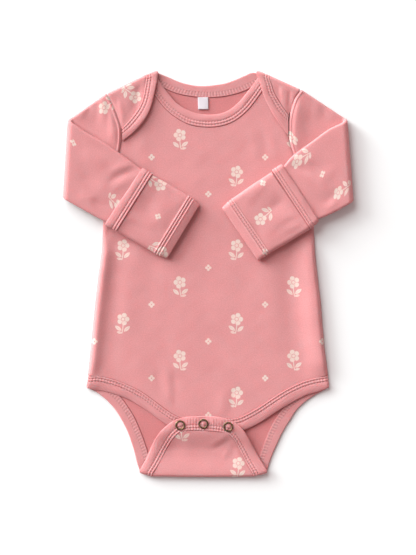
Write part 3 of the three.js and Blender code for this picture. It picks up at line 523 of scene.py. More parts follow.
def print_mask(g, u, v, wide=54.0, tall=70.0):
    """A half-drop repeat of a flower sprig, with a tiny four-petalled blossom between sprigs."""
    cu = g.mul(u, 1 / wide)
    col = g.m("FLOOR", cu)
    odd = g.m("MODULO", g.m("ABSOLUTE", col), 2.0)
    x = g.mul(g.sub(g.m("FRACT", cu), 0.5), wide)
    x = g.mul(x, g.sub(1.0, g.mul(odd, 2.0)))          # every other column is turned over
    rv = g.add(g.mul(v, 1 / tall), g.mul(odd, 0.5))
    y = g.mul(g.sub(g.m("FRACT", rv), 0.5), tall)
    # sprig
    flower, rho, wave = blossom(g, x, y, 0.0, 3.6, 6.0, 5, 0.6)
    ring = g.band(rho, 1.75, 0.3, 0.16)
    gaps = g.mul(g.ramp(g.mul(wave, rho), 0.75, 0.3), g.ramp(rho, 2.1, 2.8))
    flower = g.mul(flower, g.m("SUBTRACT", 1.0, ring), g.m("SUBTRACT", 1.0, g.mul(gaps, 0.85)))
    bend = g.add(x, g.mul(g.m("POWER", g.m("ABSOLUTE", g.add(y, 2.0)), 1.7), 0.035))
    stem = g.mul(g.band(bend, 0, 0.42, 0.14), g.ramp(y, -10.4, -9.8), g.ramp(y, -1.0, -1.8))
    shape = g.m("MAXIMUM", flower, stem)
    for cx, cy, ang, ln, wd in ((-4.6, -5.0, 2.50, 3.9, 1.7), (3.6, -5.6, 0.72, 3.9, 1.7), (-3.6, -9.0, 2.95, 2.6, 1.1)):
        shape = g.m("MAXIMUM", shape, leaf(g, x, y, cx, cy, ang, ln, wd))
    # tiny blossom between two columns, a quarter of a repeat up
    cu2 = g.add(cu, 0.5)
    odd2 = g.m("MODULO", g.m("ABSOLUTE", g.m("FLOOR", cu2)), 2.0)
    x2 = g.mul(g.sub(g.m("FRACT", cu2), 0.5), wide)
    y2 = g.mul(g.sub(g.m("FRACT", g.add(g.mul(v, 1 / tall), g.mul(odd2, 0.5), 0.25)), 0.5), tall)
    small, rho2, _ = blossom(g, x2, y2, 0.0, 0.0, 3.0, 4, 0.42)
    small = g.mul(small, g.ramp(rho2, 0.45, 0.85))
    shape = g.m("MAXIMUM", shape, small)
    speck = g.ramp(g.noise(2.4, 3.0, 0.6), 0.25, 0.42, 0.72, 1.0)
    return g.mul(shape, speck)


def knit(g, pitch=0.9, course=0.75):
    """Height of the stitches of fine jersey: wales along v."""
    wale = g.m("ABSOLUTE", g.m("SINE", g.mul(g.u, math.pi / pitch)))
    row = g.m("SINE", g.add(g.mul(g.v, 2 * math.pi / course), g.mul(wale, 1.2)))
    return g.add(wale, g.mul(row, 0.35))


def jersey(name, base, printed, hem=None):
    g = Graph(name)
    u, v = g.flat()
    fine = g.ramp(g.noise(0.9, 4.0, 0.72), 0.3, 0.7, 0.91, 1.07)
    broad = g.ramp(g.noise(0.035, 2.0, 0.5), 0.3, 0.7, 0.975, 1.02)
    tone = g.mul(fine, broad)
    colour = g.scale_colour(base, tone)
    height = knit(g)
    if printed:
        mask = print_mask(g, u, v)
        colour = g.blend(g.mul(mask, 0.96), colour, g.scale_colour(CREAM, g.ramp(fine, 0.95, 1.03, 0.96, 1.02)))
        height = g.sub(height, g.mul(mask, 0.25))
    if hem:                                            # the needle rows of a hem: painted shade in the rows, darkest at each needle hole and between the bars, and a painted highlight on the raised lines beside and between them
        hole = g.ramp(g.m("COSINE", g.mul(u, 2 * math.pi / PITCH)), -0.1, -0.8)
        rows = g.add(g.band(v, hem[0], 0.30, 0.35), g.band(v, hem[1], 0.30, 0.35))
        bars = g.mul(g.band(v, (hem[0] + hem[1]) / 2, 1.0, 0.4), hole)
        highlight_ridges = g.add(*[g.band(v, r, 0.3, 0.36) for r in (hem[1] - 1.0, (hem[0] + hem[1]) / 2, hem[0] + 1.6)])
        colour = g.blend(g.mul(highlight_ridges, 0.6), colour, PALE_THREAD_AND_HIGHLIGHT)
        colour = g.scale_colour(colour, g.m("SUBTRACT", 1.0, g.add(g.mul(rows, g.add(0.06, g.mul(hole, 0.26))), g.mul(bars, 0.08))))
    height = g.add(height, g.mul(g.noise(2.2, 2.0, 0.6), 0.9))
    g.bump(height, 0.00009, 0.8)
    return g.finish(colour, g.ramp(fine, 0.95, 1.03, 0.88, 0.95), sheen=0.15, tint=(1.0, 0.8, 0.8, 1.0), specular=0.12, through=0.42)


def rib_cloth(name, base, pitch=1.15, bars=1.0):
    """Fine rib across the binding, with two needle rows and paler thread outside and the ladder of thread inside; the
    raised lines beside the rows carry a painted highlight, and the rows, needle holes and gaps between the bars carry
    painted shade.
    """
    g = Graph(name)
    u, v = g.flat()
    rib = g.m("ABSOLUTE", g.m("SINE", g.mul(u, math.pi / pitch)))
    wave = g.m("COSINE", g.mul(u, 2 * math.pi / PITCH))
    hole, bar = g.mul(g.ramp(wave, -0.2, -0.8), bars), g.mul(g.ramp(wave, -0.1, 0.9), bars)
    rows = g.add(g.band(v, ROWS_AT[0], 0.28, 0.34), g.band(v, ROWS_AT[1], 0.28, 0.34))
    highlight_ridges = g.add(g.band(v, RIDGES_AT[0], 0.28, 0.34), g.band(v, RIDGES_AT[1], 0.34, 0.44))
    inner = g.add(g.band(v, -ROWS_AT[0], 0.3, 0.35), g.band(v, -ROWS_AT[1], 0.3, 0.35))
    between = g.mul(g.ramp(v, 0.6, 1.2), g.ramp(v, 5.9, 5.3))
    ladder = g.mul(g.ramp(v, -5.9, -5.2), g.ramp(v, -0.8, -1.4))
    # painted shade: darker in the needle rows and at each needle hole, outside and inside, and between the bars of
    # the ladder
    dark = g.add(g.mul(rows, g.add(0.09 - 0.02 * bars, g.mul(hole, 0.15))), g.mul(inner, 0.12), g.mul(between, hole, 0.05), g.mul(ladder, hole, 0.14))
    fine = g.ramp(g.noise(1.6, 3.0, 0.65), 0.3, 0.7, 0.95, 1.04)
    # the rib is painted lighter on its tops and darker between them: painted shade
    tone = g.mul(fine, g.add(0.94, g.mul(rib, 0.085)), g.m("SUBTRACT", 1.0, dark))
    # painted highlight on the raised lines beside and between the rows, mixed with the paler thread of the bars
    thread_and_painted_highlight = g.add(g.mul(highlight_ridges, g.add(0.50 - 0.20 * bars, g.mul(bar, 0.30))), g.mul(ladder, bar, 0.45), g.mul(between, bar, 0.10))
    colour = g.blend(thread_and_painted_highlight, base, PALE_THREAD_AND_HIGHLIGHT)
    # the join itself sits in its own shadow and reads as a thin deep line
    colour = g.blend(g.mul(g.ramp(g.m("ABSOLUTE", v), 0.5, 0.15), 0.75), colour, SEAM_DEEP)
    colour = g.scale_colour(colour, tone)
    height = g.add(g.mul(rib, 1.0), g.mul(g.noise(2.2, 2.0, 0.6), 0.6))
    g.bump(height, 0.00026, 0.8)
    return g.finish(colour, g.ramp(fine, 0.95, 1.03, 0.88, 0.95), sheen=0.15, tint=(1.0, 0.8, 0.8, 1.0), specular=0.12, through=0.42)


def thread_material():
    g = Graph("thread")
    g.flat()
    twist = g.m("SINE", g.mul(g.add(g.u, g.mul(g.v, 2.0)), 2 * math.pi / 0.35))
    # painted shade: the thread is a little darker in the grooves of its twist and lighter on its crests
    colour = g.scale_colour(PALE_THREAD_AND_HIGHLIGHT, g.ramp(twist, -1, 1, 0.93, 1.04))
    g.bump(twist, 0.00003, 0.6)
    return g.finish(colour, g.ramp(twist, -1, 1, 0.75, 0.65), sheen=0.1, specular=0.3)


def brass_material(name, dark):
    g = Graph(name)
    n = g.node("ShaderNodeTexCoord").outputs["Object"]
    cloud = g.noise(420.0, 4.0, 0.6, vector=n)
    scratch = g.noise(2600.0, 2.0, 0.7, vector=n)
    colour = g.blend(g.ramp(cloud, 0.38, 0.66), srgb(70, 58, 42), srgb(126, 106, 76)) if dark else g.blend(g.ramp(cloud, 0.38, 0.66), srgb(112, 98, 76), srgb(150, 134, 106))
    g.bump(g.add(cloud, g.mul(scratch, 0.4)), 0.00004, 0.7)
    return g.finish(colour, g.ramp(cloud, 0.3, 0.7, 0.56, 0.42), metal=0.7, specular=0.4)


def tape_material():
    g = Graph("label_tape")
    u, v = g.flat()
    warp = g.m("SINE", g.mul(u, 2 * math.pi / 0.42))
    weft = g.m("SINE", g.mul(v, 2 * math.pi / 0.50))
    edge = g.m("MULTIPLY", warp, weft)
    # painted shade: the tape is a little darker where the weave lies lower
    colour = g.scale_colour(srgb(212, 212, 218), g.ramp(edge, -1, 1, 0.97, 1.0))
    g.bump(edge, 0.00004, 0.6)
    return g.finish(colour, g.ramp(warp, -1, 1, 0.5, 0.6), sheen=0.05, specular=0.4)


PRINTED = jersey("jersey_printed", PINK, True)
PLAIN = jersey("jersey_inside", PINK_INSIDE_SHADED, False)
RIBBED = rib_cloth("rib_binding", RIB)
RIB_BAND = rib_cloth("rib_cuff_band", RIB, bars=0.25)
THREAD = thread_material()
BRASS = brass_material("snap_brass", True)
BRASS_PART = brass_material("snap_inner_brass", False)
TAPE = tape_material()

# ------------------------------------------------------------------ body panels
K = 6                                  # finer than the frame's grids by this much
COLS, SHOULDER_COLS = 18 * K, 3 * K
BACK_PRINT = np.array([-0.2, 18.9])    # where the print falls on the back, so that a sprig shows on the left lap
TUCK = 0.7                             # a panel's bound edge runs this far inside its binding


def side_at(y, k):
    return np.interp(-np.asarray(y, float), -SIDE[:, 0], SIDE[:, k])


def front_height(x, y):
    on = smooth(92, 70, y) * smooth(-110, -92, y)
    open_ = smooth(46, 14, y) * smooth(-104, -84, y)
    dl, dr = x - side_at(y, 1), side_at(y, 2) - x

    def edge(d, wide):
        t = np.clip(d / wide, 0, 1)
        return 1 - np.sqrt(np.maximum(0, 1 - (1 - t) ** 2))
    # the left side rolls over; the right side swells up to a close fold
    z = FRONT + open_ * (ROLL_LEFT - FRONT) * bump(dl, 3.0, 6.8) + open_ * (ROLL_RIGHT - FRONT) * smooth(24, 3, dr)
    z = z - open_ * (0.25 * bump(dl, 20, 9) + 0.5 * bump(dr, 30, 10))
    z = z + front_wave(x, y, z)
    return z - on * (z - SIDE_SEAM) * np.maximum(edge(dl, 4.6), edge(dr, 2.1))


def flap_height(y):
    return FLAP_LOW + (FLAP_FOLD - FLAP_LOW) * smooth(-172, -190, y) + (FLAP_BAND - FLAP_LOW) * smooth(-169, -149, y)


def axis(key):
    s = SHOULDER[key]
    return {k: np.array(s[k], float) - SHOULDER_IN * np.array(s["out"]) for k in ("arm", "seam", "peak")}


AXIS = {k: axis(k) for k in ("left", "right")}


def armhole_from(key, start):
    return [tuple(start)] + [p for p in ARMHOLE[key] if p[1] < start[1] - 3]


def straight_row(y, n=COLS):
    return spaced([(side_at(y, 1), y), (side_at(y, 2), y)], n)


def dip(grid, sides, depth=0.7, wide=1.7):
    """How far a panel goes down into the seam along its first and last columns, where sides says so."""
    d = np.full(grid.shape[:2], 99.0)
    for k in sides:
        d = np.minimum(d, np.linalg.norm(grid[:, :, :2] - grid[:, k:k + 1 if k >= 0 else None, :2], axis=2))
    return -depth * np.exp(-(d / wide) ** 2)


def front_panel():
    neck = edge_of(NECK_FRONT, -TUCK)
    top = np.concatenate([spaced([FRONT_SHOULDER["left"], neck[0]], SHOULDER_COLS), spaced(neck, COLS - 2 * SHOULDER_COLS)[1:],
                          spaced([neck[-1], FRONT_SHOULDER["right"]], SHOULDER_COLS)[1:]])
    upper = patch(top, straight_row(85.0), spaced(armhole_from("left", FRONT_SHOULDER["left"]), 8 * K),
                  spaced(armhole_from("right", FRONT_SHOULDER["right"]), 8 * K))
    middle = np.stack([straight_row(y) for y in np.linspace(85.0, -96.6, 15 * K + 1)])
    tab_l, tab_r = edge_of(TAB_LEFT, -TUCK), edge_of(TAB_RIGHT, -TUCK)
    leg = straight_row(-96.6)
    lower = patch(leg, spaced([tab_l[2], tab_l[1], tab_l[0], tab_r[8], tab_r[7]], COLS),
                  spaced([tuple(leg[0])] + tab_l[3:][::-1] + [tab_l[2]], 8 * K),
                  spaced([tuple(leg[-1])] + tab_r[:7] + [tab_r[7]], 8 * K))
    grids = []
    for part in (upper, middle, lower):
        z = front_height(part[..., 0], part[..., 1])
        if part is upper:
            z = z + dip(part, (0, -1)) * smooth(85, 92, part[..., 1])
        grids.append((at(part, z), part + np.array([0.0, 12.0]), True))
    return shell("front_panel_cloth", grids, CLOTH, [PRINTED, PLAIN])


def back_panel():
    neck = [tuple(AXIS["left"]["seam"])] + edge_of(NECK_BACK, -TUCK) + [tuple(AXIS["right"]["seam"])]
    top = np.concatenate([spaced([AXIS["left"]["arm"], AXIS["left"]["seam"]], SHOULDER_COLS), spaced(neck, COLS - 2 * SHOULDER_COLS)[1:],
                          spaced([AXIS["right"]["seam"], AXIS["right"]["arm"]], SHOULDER_COLS)[1:]])
    upper = patch(top, straight_row(85.0), spaced(armhole_from("left", AXIS["left"]["arm"]), 8 * K),
                  spaced(armhole_from("right", AXIS["right"]["arm"]), 8 * K))
    middle = np.stack([straight_row(y) for y in np.linspace(85.0, -96.6, 10 * K + 1)])
    crotch = spaced([CROTCH["left"]["s"], (-5, -190.9), CROTCH["right"]["s"]], COLS)
    leg = straight_row(-96.6)
    lower = patch(leg, crotch, spaced([tuple(leg[0])] + edge_of(BACK_LEFT, -TUCK) + [CROTCH["left"]["s"]], 9 * K),
                  spaced([tuple(leg[-1])] + edge_of(BACK_RIGHT, -TUCK)[::-1] + [CROTCH["right"]["s"]], 9 * K))
    grids = []
    for part in (upper, middle, lower):
        # the underside stays on the table; a faint wave is worked out for the inside that shows in the openings, but
        # it is dropped before the shell is made
        wave = 0.12 * (1 + wander(part[..., 0], part[..., 1], 21, 30))
        grids.append((at(part, BACK), part * np.array([-1.0, 1.0]) + BACK_PRINT, False, 0.0, wave))
    r = (FLAP_FOLD - BACK) / 2
    turn = np.stack([fold(crotch, (0, -1), BACK, FLAP_FOLD, t) for t in np.linspace(0, 1, 15)])
    shift = np.array([-1.5, 9.0])
    turn_uv = np.stack([crotch - np.array([0, np.pi * r * (1 - t)]) for t in np.linspace(0, 1, 15)]) + shift
    grids.append((turn, turn_uv, False))
    fl, fr = edge_of(FLAP_LEFT, -TUCK), edge_of(FLAP_RIGHT, -TUCK)
    flap = patch(crotch, spaced([fl[4], fl[5], fl[6], fl[7], fr[0], fr[1]], COLS),
                 spaced([CROTCH["left"]["s"]] + fl[:5], 6 * K), spaced([CROTCH["right"]["s"]] + fr[1:][::-1], 6 * K))
    z = flap_height(flap[..., 1])
    z = z + creases(flap[..., 0], flap[..., 1], FOLDS) * smooth(-188, -180, flap[..., 1])
    z[0] = FLAP_FOLD
    grids.append((at(flap, z), flap + shift, False))
    for key, row, lap in (("left", top[:SHOULDER_COLS + 1], LAP_LEFT), ("right", top[COLS - SHOULDER_COLS:][::-1], LAP_RIGHT[::-1])):
        tip, out, n = np.array(lap[0][:2], float), np.array(SHOULDER[key]["out"]), 5 * K
        arm = spaced([tuple(row[0])] + [p for p in armhole_from(key, row[0])[1:] if p[1] > tip[1] + 3] + [tuple(tip)], n)
        seam = spaced([tuple(row[-1])] + edge_of(lap, -TUCK)[1:][::-1] + [tuple(tip)], n)
        mixed = arm[:, None] + (seam - arm)[:, None] * np.linspace(0, 1, SHOULDER_COLS + 1)[None, :, None]
        mixed[0] = row
        r = (LAP - BACK) / 2
        ts = np.linspace(0, 1, 15)
        turned = np.stack([fold(row, out, BACK, LAP, t) for t in ts])
        turned_uv = np.stack([row + out * np.pi * r * t for t in ts])
        depth = -((mixed - row[0]) @ out)
        flat = mixed + out * (2 * depth + np.pi * r)[..., None]
        z = LAP + (creases(mixed[..., 0], mixed[..., 1], LAP_FOLDS) + dip(mixed, (0,), 0.55)) * smooth(0, 6, depth)
        z[0] = LAP
        flip = key == "left"
        grids.append((turned, turned_uv * np.array([-1.0, 1.0]) + BACK_PRINT, flip))
        grids.append((at(mixed, z), flat * np.array([-1.0, 1.0]) + BACK_PRINT, flip))
    return shell("back_panel_cloth", [g[:4] for g in grids], CLOTH, [PRINTED, PLAIN])


# ------------------------------------------------------------------ bindings


def dense(rows, before=None, after=None, k=24):
    s, f = seam_of(rows), free_of(rows)
    if before is not None:
        s.insert(0, tuple(before["s"])); f.insert(0, tuple(before["f"]))
    if after is not None:
        s.append(tuple(after["s"])); f.append(tuple(after["f"]))
    t = np.linspace(0, 1, (len(s) - 1) * k + 1)
    return point(s, t), point(f, t)


def level(pair, z):
    s, f = pair
    return at(s, z(s) if callable(z) else z), at(f, z(f) if callable(z) else z)


def around(corner, out, z0, z1, ts):
    s = np.stack([fold(corner["s"], out, z0, z1, t) for t in ts])
    f = np.stack([fold(corner["f"], out, z0, z1, t) for t in ts])
    return s, f


def profile(width, half, relief):
    """Section of a binding, from its seam edge round its free edge and back: distance from the seam, height,
    and the place on the strip (over 0 outside, under 0 inside)."""
    n = len(width)
    rest = np.linspace(0, 1, 10)[1:-1]
    d_in = np.array([-0.30, 0.0, 0.35, 0.7, 1.1, 1.5, 1.9, 2.15, 2.4, 2.65, 2.95, 3.4, 3.8, 4.2, 4.65, 4.95, 5.2, 5.45, 5.75, 6.3])
    top = [np.full(n, d) for d in d_in] + [6.3 + (width - 0.9 - 6.3) * t for t in rest] + [width - 0.9]
    top = np.stack(top, 1)
    body = smooth(-0.5, 0.5, top)
    high = half * (0.45 + 0.55 * body) + relief * (0.26 * bump(top, RIDGES_AT[0], 0.55) + 0.24 * bump(top, RIDGES_AT[1], 0.75)
                                                   - 0.30 * bump(top, ROWS_AT[0], 0.42) - 0.30 * bump(top, ROWS_AT[1], 0.42))
    span = np.clip((top - 5.6) / np.maximum(width[:, None] - 5.6, 1), 0, 1)
    high = high + 0.15 * np.sin(np.pi * span) ** 0.8
    # the folded edge is soft: it thins over its last few millimetres
    thin = 0.42
    high = high - thin * np.clip((top - (width[:, None] - 5.5)) / 4.6, 0, 1) ** 2
    ang = np.array([70, 45, 20, 0, -20, -45, -70]) * np.pi / 180
    tip_d = width[:, None] - 0.9 + 0.9 * np.cos(ang)
    tip_h = -thin / 2 + (half - thin / 2) * np.sin(ang)[None] * np.ones((n, 1))
    low_d = top[:, ::-1][:, ::2]
    low_h = -half * (0.45 + 0.55 * smooth(-0.5, 0.5, low_d)) + 0.10 * bump(low_d, 3.8, 1.2)
    d = np.concatenate([top, tip_d, low_d], 1)
    h = np.concatenate([high, tip_h, low_h], 1)
    mark = np.concatenate([np.maximum(top, 0.02), width[:, None] - 0.9 + 0.9 * np.sin(np.abs(ang - np.pi / 2)) * 1.0 + 0 * tip_d, -np.maximum(low_d, 0.02)], 1)
    return d, h, mark, top.shape[1], len(ang)


def binding(name, pieces, sign, closed, seed, half=BIND / 2, step=0.57, wave=None, puff=None, relief=1.0, pull=1.0, cloth=None):
    s = np.concatenate([p[0] for p in pieces]); f = np.concatenate([p[1] for p in pieces])
    if closed:
        s, f = np.vstack([s, s[:1]]), np.vstack([f, f[:1]])
    mid = (s * 0.6 + f * 0.4)
    gap = np.linalg.norm(np.diff(mid, axis=0), axis=1)
    keep = np.concatenate([[True], gap > 1e-6])
    s, f, mid = s[keep], f[keep], mid[keep]
    run = np.concatenate([[0], np.cumsum(np.linalg.norm(np.diff(mid, axis=0), axis=1))])
    count = int(round(run[-1] / step))
    if closed:                                   # whole stitches round a closed ring
        count = int(round(count * step / PITCH)) * max(1, round(PITCH / step))
    x = np.linspace(0, run[-1], count + 1)
    S = np.stack([np.interp(x, run, s[:, k]) for k in range(3)], 1)
    F = np.stack([np.interp(x, run, f[:, k]) for k in range(3)], 1)
    if closed:
        S, F, x = S[:-1], F[:-1], x[:-1]
    # soften the steps left by the sections
    for _ in range(3):
        for A in (S, F):
            if closed:
                A[:] = 0.25 * np.roll(A, 1, 0) + 0.5 * A + 0.25 * np.roll(A, -1, 0)
            else:
                A[1:-1] = 0.25 * A[:-2] + 0.5 * A[1:-1] + 0.25 * A[2:]
    M = S * 0.6 + F * 0.4
    T = (np.roll(M, -1, 0) - np.roll(M, 1, 0)) if closed else np.gradient(M, axis=0)
    E = F - S
    W = np.linalg.norm(E, axis=1)
    E /= W[:, None]
    T -= (T * E).sum(1, keepdims=True) * E
    T /= np.linalg.norm(T, axis=1, keepdims=True)
    Nn = sign * np.cross(T, E)
    scale = run[-1] / (round(run[-1] / PITCH) * PITCH) if closed else 1.0
    along = x / scale
    r = np.random.default_rng(seed)
    ph = r.uniform(0, 6.28, 6)
    Wv = W + 0.16 * np.sin(along / 9.0 + ph[0]) + 0.10 * np.sin(along / 4.1 + ph[1])
    d, h, mark, n_top, n_tip = profile(Wv, half, relief)
    n_all = d.shape[1]
    outside = (np.arange(n_all) < n_top)[None]
    # cloth drawn in at each stitch, and lifted between two
    pucker = np.cos(2 * np.pi * along / PITCH)[:, None]
    reach = (bump(d, ROWS_AT[0], 0.9) + bump(d, ROWS_AT[1], 0.9)) + 0.9 * bump(d, RIDGES_AT[1], 1.0) + 0.6 * bump(d, RIDGES_AT[0], 0.8)
    h = h + pull * pucker * reach * np.where(outside, 0.13, 0.10)
    slow = 0.10 * np.sin(along / 6.3 + ph[2]) + 0.08 * np.sin(along / 3.7 + ph[3])
    h = h + slow[:, None] * smooth(5.5, 8.5, d) * np.where(outside, 1, 0.3)
    P = S[:, None] + E[:, None] * d[..., None] + Nn[:, None] * h[..., None]
    if wave is not None:
        P[..., 2] += wave(P[..., 0], P[..., 1], (S * 0.5 + F * 0.5)[:, None, 2] * np.ones_like(d))
    if puff is not None:
        P[..., 2] += puff(P[..., 0], P[..., 1], np.where(outside, 1.0, 0.0) * (Nn[:, None, 2] > 0.5))
    P[..., 2] = np.maximum(P[..., 2], 0.0)
    rows = len(x)
    idx = np.arange(rows * n_all).reshape(rows, n_all)
    a, b = (idx, np.roll(idx, -1, 0)) if closed else (idx[:-1], idx[1:])
    quads = np.stack([a, np.roll(a, -1, 1), np.roll(b, -1, 1), b], -1).reshape(-1, 4)
    U = along[:, None] * np.ones_like(d)
    U2 = np.concatenate([U[1:], U[-1:] + (U[-1:] - U[-2:-1])]) if closed else U[1:]
    U1 = U if closed else U[:-1]
    m1 = mark if closed else mark[:-1]
    m2 = np.roll(mark, -1, 0) if closed else mark[1:]

    def corner(u, m, roll):
        return np.stack([np.roll(u, -roll, 1), np.roll(m, -roll, 1)], -1)
    uv = np.stack([corner(U1, m1, 0), corner(U1, m1, 1), corner(U2, m2, 1), corner(U2, m2, 0)], 2).reshape(-1, 4, 2)
    centre = P.mean(1, keepdims=True)
    faces, uvs = [quads], [uv]
    if not closed:
        for row, flip in ((0, False), (rows - 1, True)):
            ids = idx[row][None]
            w = np.stack([U[row], mark[row]], -1)[None]
            faces.append(ids[:, ::-1] if flip else ids)
            uvs.append(w[:, ::-1] if flip else w)
    P2 = P.reshape(-1, 3)
    q = quads
    vol = (P2[q[:, 0]] * np.cross(P2[q[:, 1]], P2[q[:, 2]])).sum() + (P2[q[:, 0]] * np.cross(P2[q[:, 2]], P2[q[:, 3]])).sum()
    if vol < 0:
        faces = [fc[:, ::-1] for fc in faces]
        uvs = [u[:, ::-1] for u in uvs]
    o = mesh_object(name, P2, faces, uvs, [0] * len(faces), [cloth or RIBBED])
    # threads: two needle rows outside, cross bars inside
    frames = []
    Px = P.reshape(rows, n_all, 3)
    total = along[-1] + (along[1] - along[0] if closed else 0)
    for kind, dist in (("row", ROWS_AT[0]), ("row", ROWS_AT[1]), ("bar", RIDGES_AT[1])):
        where = np.arange(PITCH if kind == "row" else 0.0, total - 0.4, PITCH)
        i = np.clip(np.searchsorted(along, where), 0, rows - 1)
        if kind == "row":
            col = int(np.argmin(np.abs(d[0, :n_top] - dist)))
        else:
            low = d[0, n_top + n_tip:]
            col = n_top + n_tip + int(np.argmin(np.abs(low - dist)))
        c = Px[i, col]
        n_ = Nn[i] * (1 if kind == "row" else -1)
        frames.append((c + n_ * (0.08 if kind == "row" else 0.05), T[i] if kind == "row" else E[i], n_, (0.80, 0.14) if kind == "row" else (1.35, 0.17)))
    return o, frames


def threads(name, frames):
    """Small rounded thread lengths, all in one mesh."""
    sides, prof = 5, ((-1.0, 0.25), (-0.72, 0.9), (0.0, 1.05), (0.72, 0.9), (1.0, 0.25))
    verts, faces, uvs, base = [], [], [], 0
    ang = np.linspace(0, 2 * np.pi, sides, endpoint=False)
    for c, t, n, (half, radius) in frames:
        b = np.cross(n, t)
        b /= np.maximum(np.linalg.norm(b, axis=1, keepdims=True), 1e-9)
        k = len(c)
        ring = []
        for along, r in prof:
            arch = 0.06 * (1 - along ** 2)
            ring.append(c[:, None] + t[:, None] * (half * along) + n[:, None] * arch
                        + radius * r * (np.cos(ang)[None, :, None] * b[:, None] + np.sin(ang)[None, :, None] * n[:, None]))
        v = np.stack(ring, 1)                      # k, rings, sides, 3
        v[..., 2] = np.maximum(v[..., 2], 0.0)
        verts.append(v.reshape(-1, 3))
        m = len(prof) * sides
        idx = np.arange(m).reshape(len(prof), sides)
        q = np.stack([idx[:-1], np.roll(idx[:-1], -1, 1), np.roll(idx[1:], -1, 1), idx[1:]], -1).reshape(-1, 4)
        q = (q[None] + (np.arange(k) * m)[:, None, None]).reshape(-1, 4) + base
        caps = np.stack([idx[0][::-1], idx[-1]])
        caps = (caps[None] + (np.arange(k) * m)[:, None, None]).reshape(-1, sides) + base
        base += k * m
        faces += [q, caps]
        uvs += [np.stack([q % 7, q % 5], -1) * 0.1, np.stack([caps % 7, caps % 5], -1) * 0.1]
    # faces are grouped by corner count as they come
    return mesh_object(name, np.concatenate(verts), faces, uvs, [0] * len(faces), [THREAD])


def snap_puff(x, y, top):
    """Cloth drawn down round each snap and domed inside its ring."""
    z = 0
    for sx, sy in SNAPS.values():
        r = np.hypot(x - sx, y - sy)
        z = z + top * (0.85 * smooth(3.3, 0.6, r)) - 0.35 * bump(r, 5.2, 1.6) * top
    # uneven ribs across the snap band, drawn up between the snaps
    there = top * smooth(-153, -149, y) * smooth(-133, -138, y) * smooth(-36, -30, x) * smooth(28, 22, x)
    return z + 0.16 * there * np.cos(2 * np.pi * (x + 0.5 * np.sin(x / 5.0)) / 2.5) * (0.75 + 0.25 * np.sin(x / 3.1))


def bind_wave(x, y, z):
    return front_wave(x, y, z) * smooth(5.4, 4.6, z)


def lap_wave(x, y, z):
    return np.zeros_like(z)


STITCHES = {}


def lap_free(rise):
    def z(p):
        y = p[..., 1]
        return LAP + rise * smooth(190, 176, y) * (0.4 + 0.6 * smooth(126, 150, y))
    return z


def tilted(pair, z):
    s, f = pair
    return at(s, LAP), at(f, z(f))


def neck_back():
    fl = dict(s=AXIS["left"]["seam"], f=AXIS["left"]["peak"])
    fr = dict(s=AXIS["right"]["seam"], f=AXIS["right"]["peak"])
    o, st = binding("neck_binding_back_rib", [
        tilted(dense(LAP_LEFT, None, fl), lap_free(1.9)),
        around(fl, SHOULDER["left"]["out"], BACK_BIND, LAP, np.linspace(1, 0, 13)[1:-1]),
        level(dense(NECK_BACK, fl, fr), BACK_BIND),
        around(fr, SHOULDER["right"]["out"], BACK_BIND, LAP, np.linspace(0, 1, 13)[1:-1]),
        tilted(dense(LAP_RIGHT, fr, None), lap_free(1.4))], -1, False, 31)
    STITCHES["neck_back"] = st
    return o


def neck_front():
    o, st = binding("neck_binding_front_rib", [level(dense(NECK_FRONT), FRONT_BIND)], 1, False, 32, wave=bind_wave)
    STITCHES["neck_front"] = st
    return o


def leg_binding():
    cl, cr = LEG_CORNER["left"], LEG_CORNER["right"]

    def lean(pair, drop):
        s, f = pair
        far = np.minimum(np.abs(f[:, 0] - cl["f"][0]), np.abs(f[:, 0] - cr["f"][0]))
        return at(s, FRONT_BIND), at(f, FRONT_BIND - drop * smooth(0, 14, far))

    def flap(p):
        return np.where(p[..., 1] < -187, FLAP_FOLD, flap_height(p[..., 1]))
    o, st = binding("leg_binding_rib", [
        lean(dense(TAB_LEFT, None, cl), 1.4),
        around(cl, cl["out"], BACK_BIND, FRONT_BIND, np.linspace(1, 0, 9)[1:-1]),
        level(dense(BACK_LEFT, cl, CROTCH["left"]), BACK_BIND),
        around(CROTCH["left"], (0, -1), BACK_BIND, FLAP_FOLD, np.linspace(0, 1, 11)[1:-1]),
        level(dense(FLAP_LEFT + FLAP_RIGHT, CROTCH["left"], CROTCH["right"]), flap),
        around(CROTCH["right"], (0, -1), BACK_BIND, FLAP_FOLD, np.linspace(1, 0, 11)[1:-1]),
        level(dense(BACK_RIGHT, CROTCH["right"], cr), BACK_BIND),
        around(cr, cr["out"], BACK_BIND, FRONT_BIND, np.linspace(0, 1, 9)[1:-1]),
        lean(dense(TAB_RIGHT, cr, None), 0.3)], 1, True, 33, wave=bind_wave, puff=snap_puff)
    STITCHES["leg"] = st
    return o


# ------------------------------------------------------------------ sleeves and mittens


def loop(width, half, steps, arc=7):
    """One round of a flattened tube, from the middle of its far edge: place across and layer, last point as the first."""
    d = min(0.3, half / width)
    flat = np.linspace(d, 1 - d, steps + 1)
    a = np.linspace(-np.pi / 2, np.pi / 2, arc + 2)[1:-1]
    far = np.stack([1 - d * (1 - np.cos(a)), np.sin(a)], 1)
    near = np.stack([d * (1 - np.cos(a)), np.sin(a)], 1)[::-1]
    under = np.stack([flat, -np.ones_like(flat)], 1)
    over = np.stack([flat[::-1], np.ones_like(flat)], 1)
    whole = np.concatenate([under, far, over, near])
    return np.roll(whole, -(len(under) + arc // 2), 0)


def across(row, v):
    t = np.clip(v, 0, 1) * (len(row) - 1)
    i = np.minimum(np.floor(t).astype(int), len(row) - 2)
    return row[i] + (row[i + 1] - row[i]) * (t - i)[:, None]


def span(row):
    return float(np.linalg.norm(np.diff(row, axis=0), axis=1).sum())


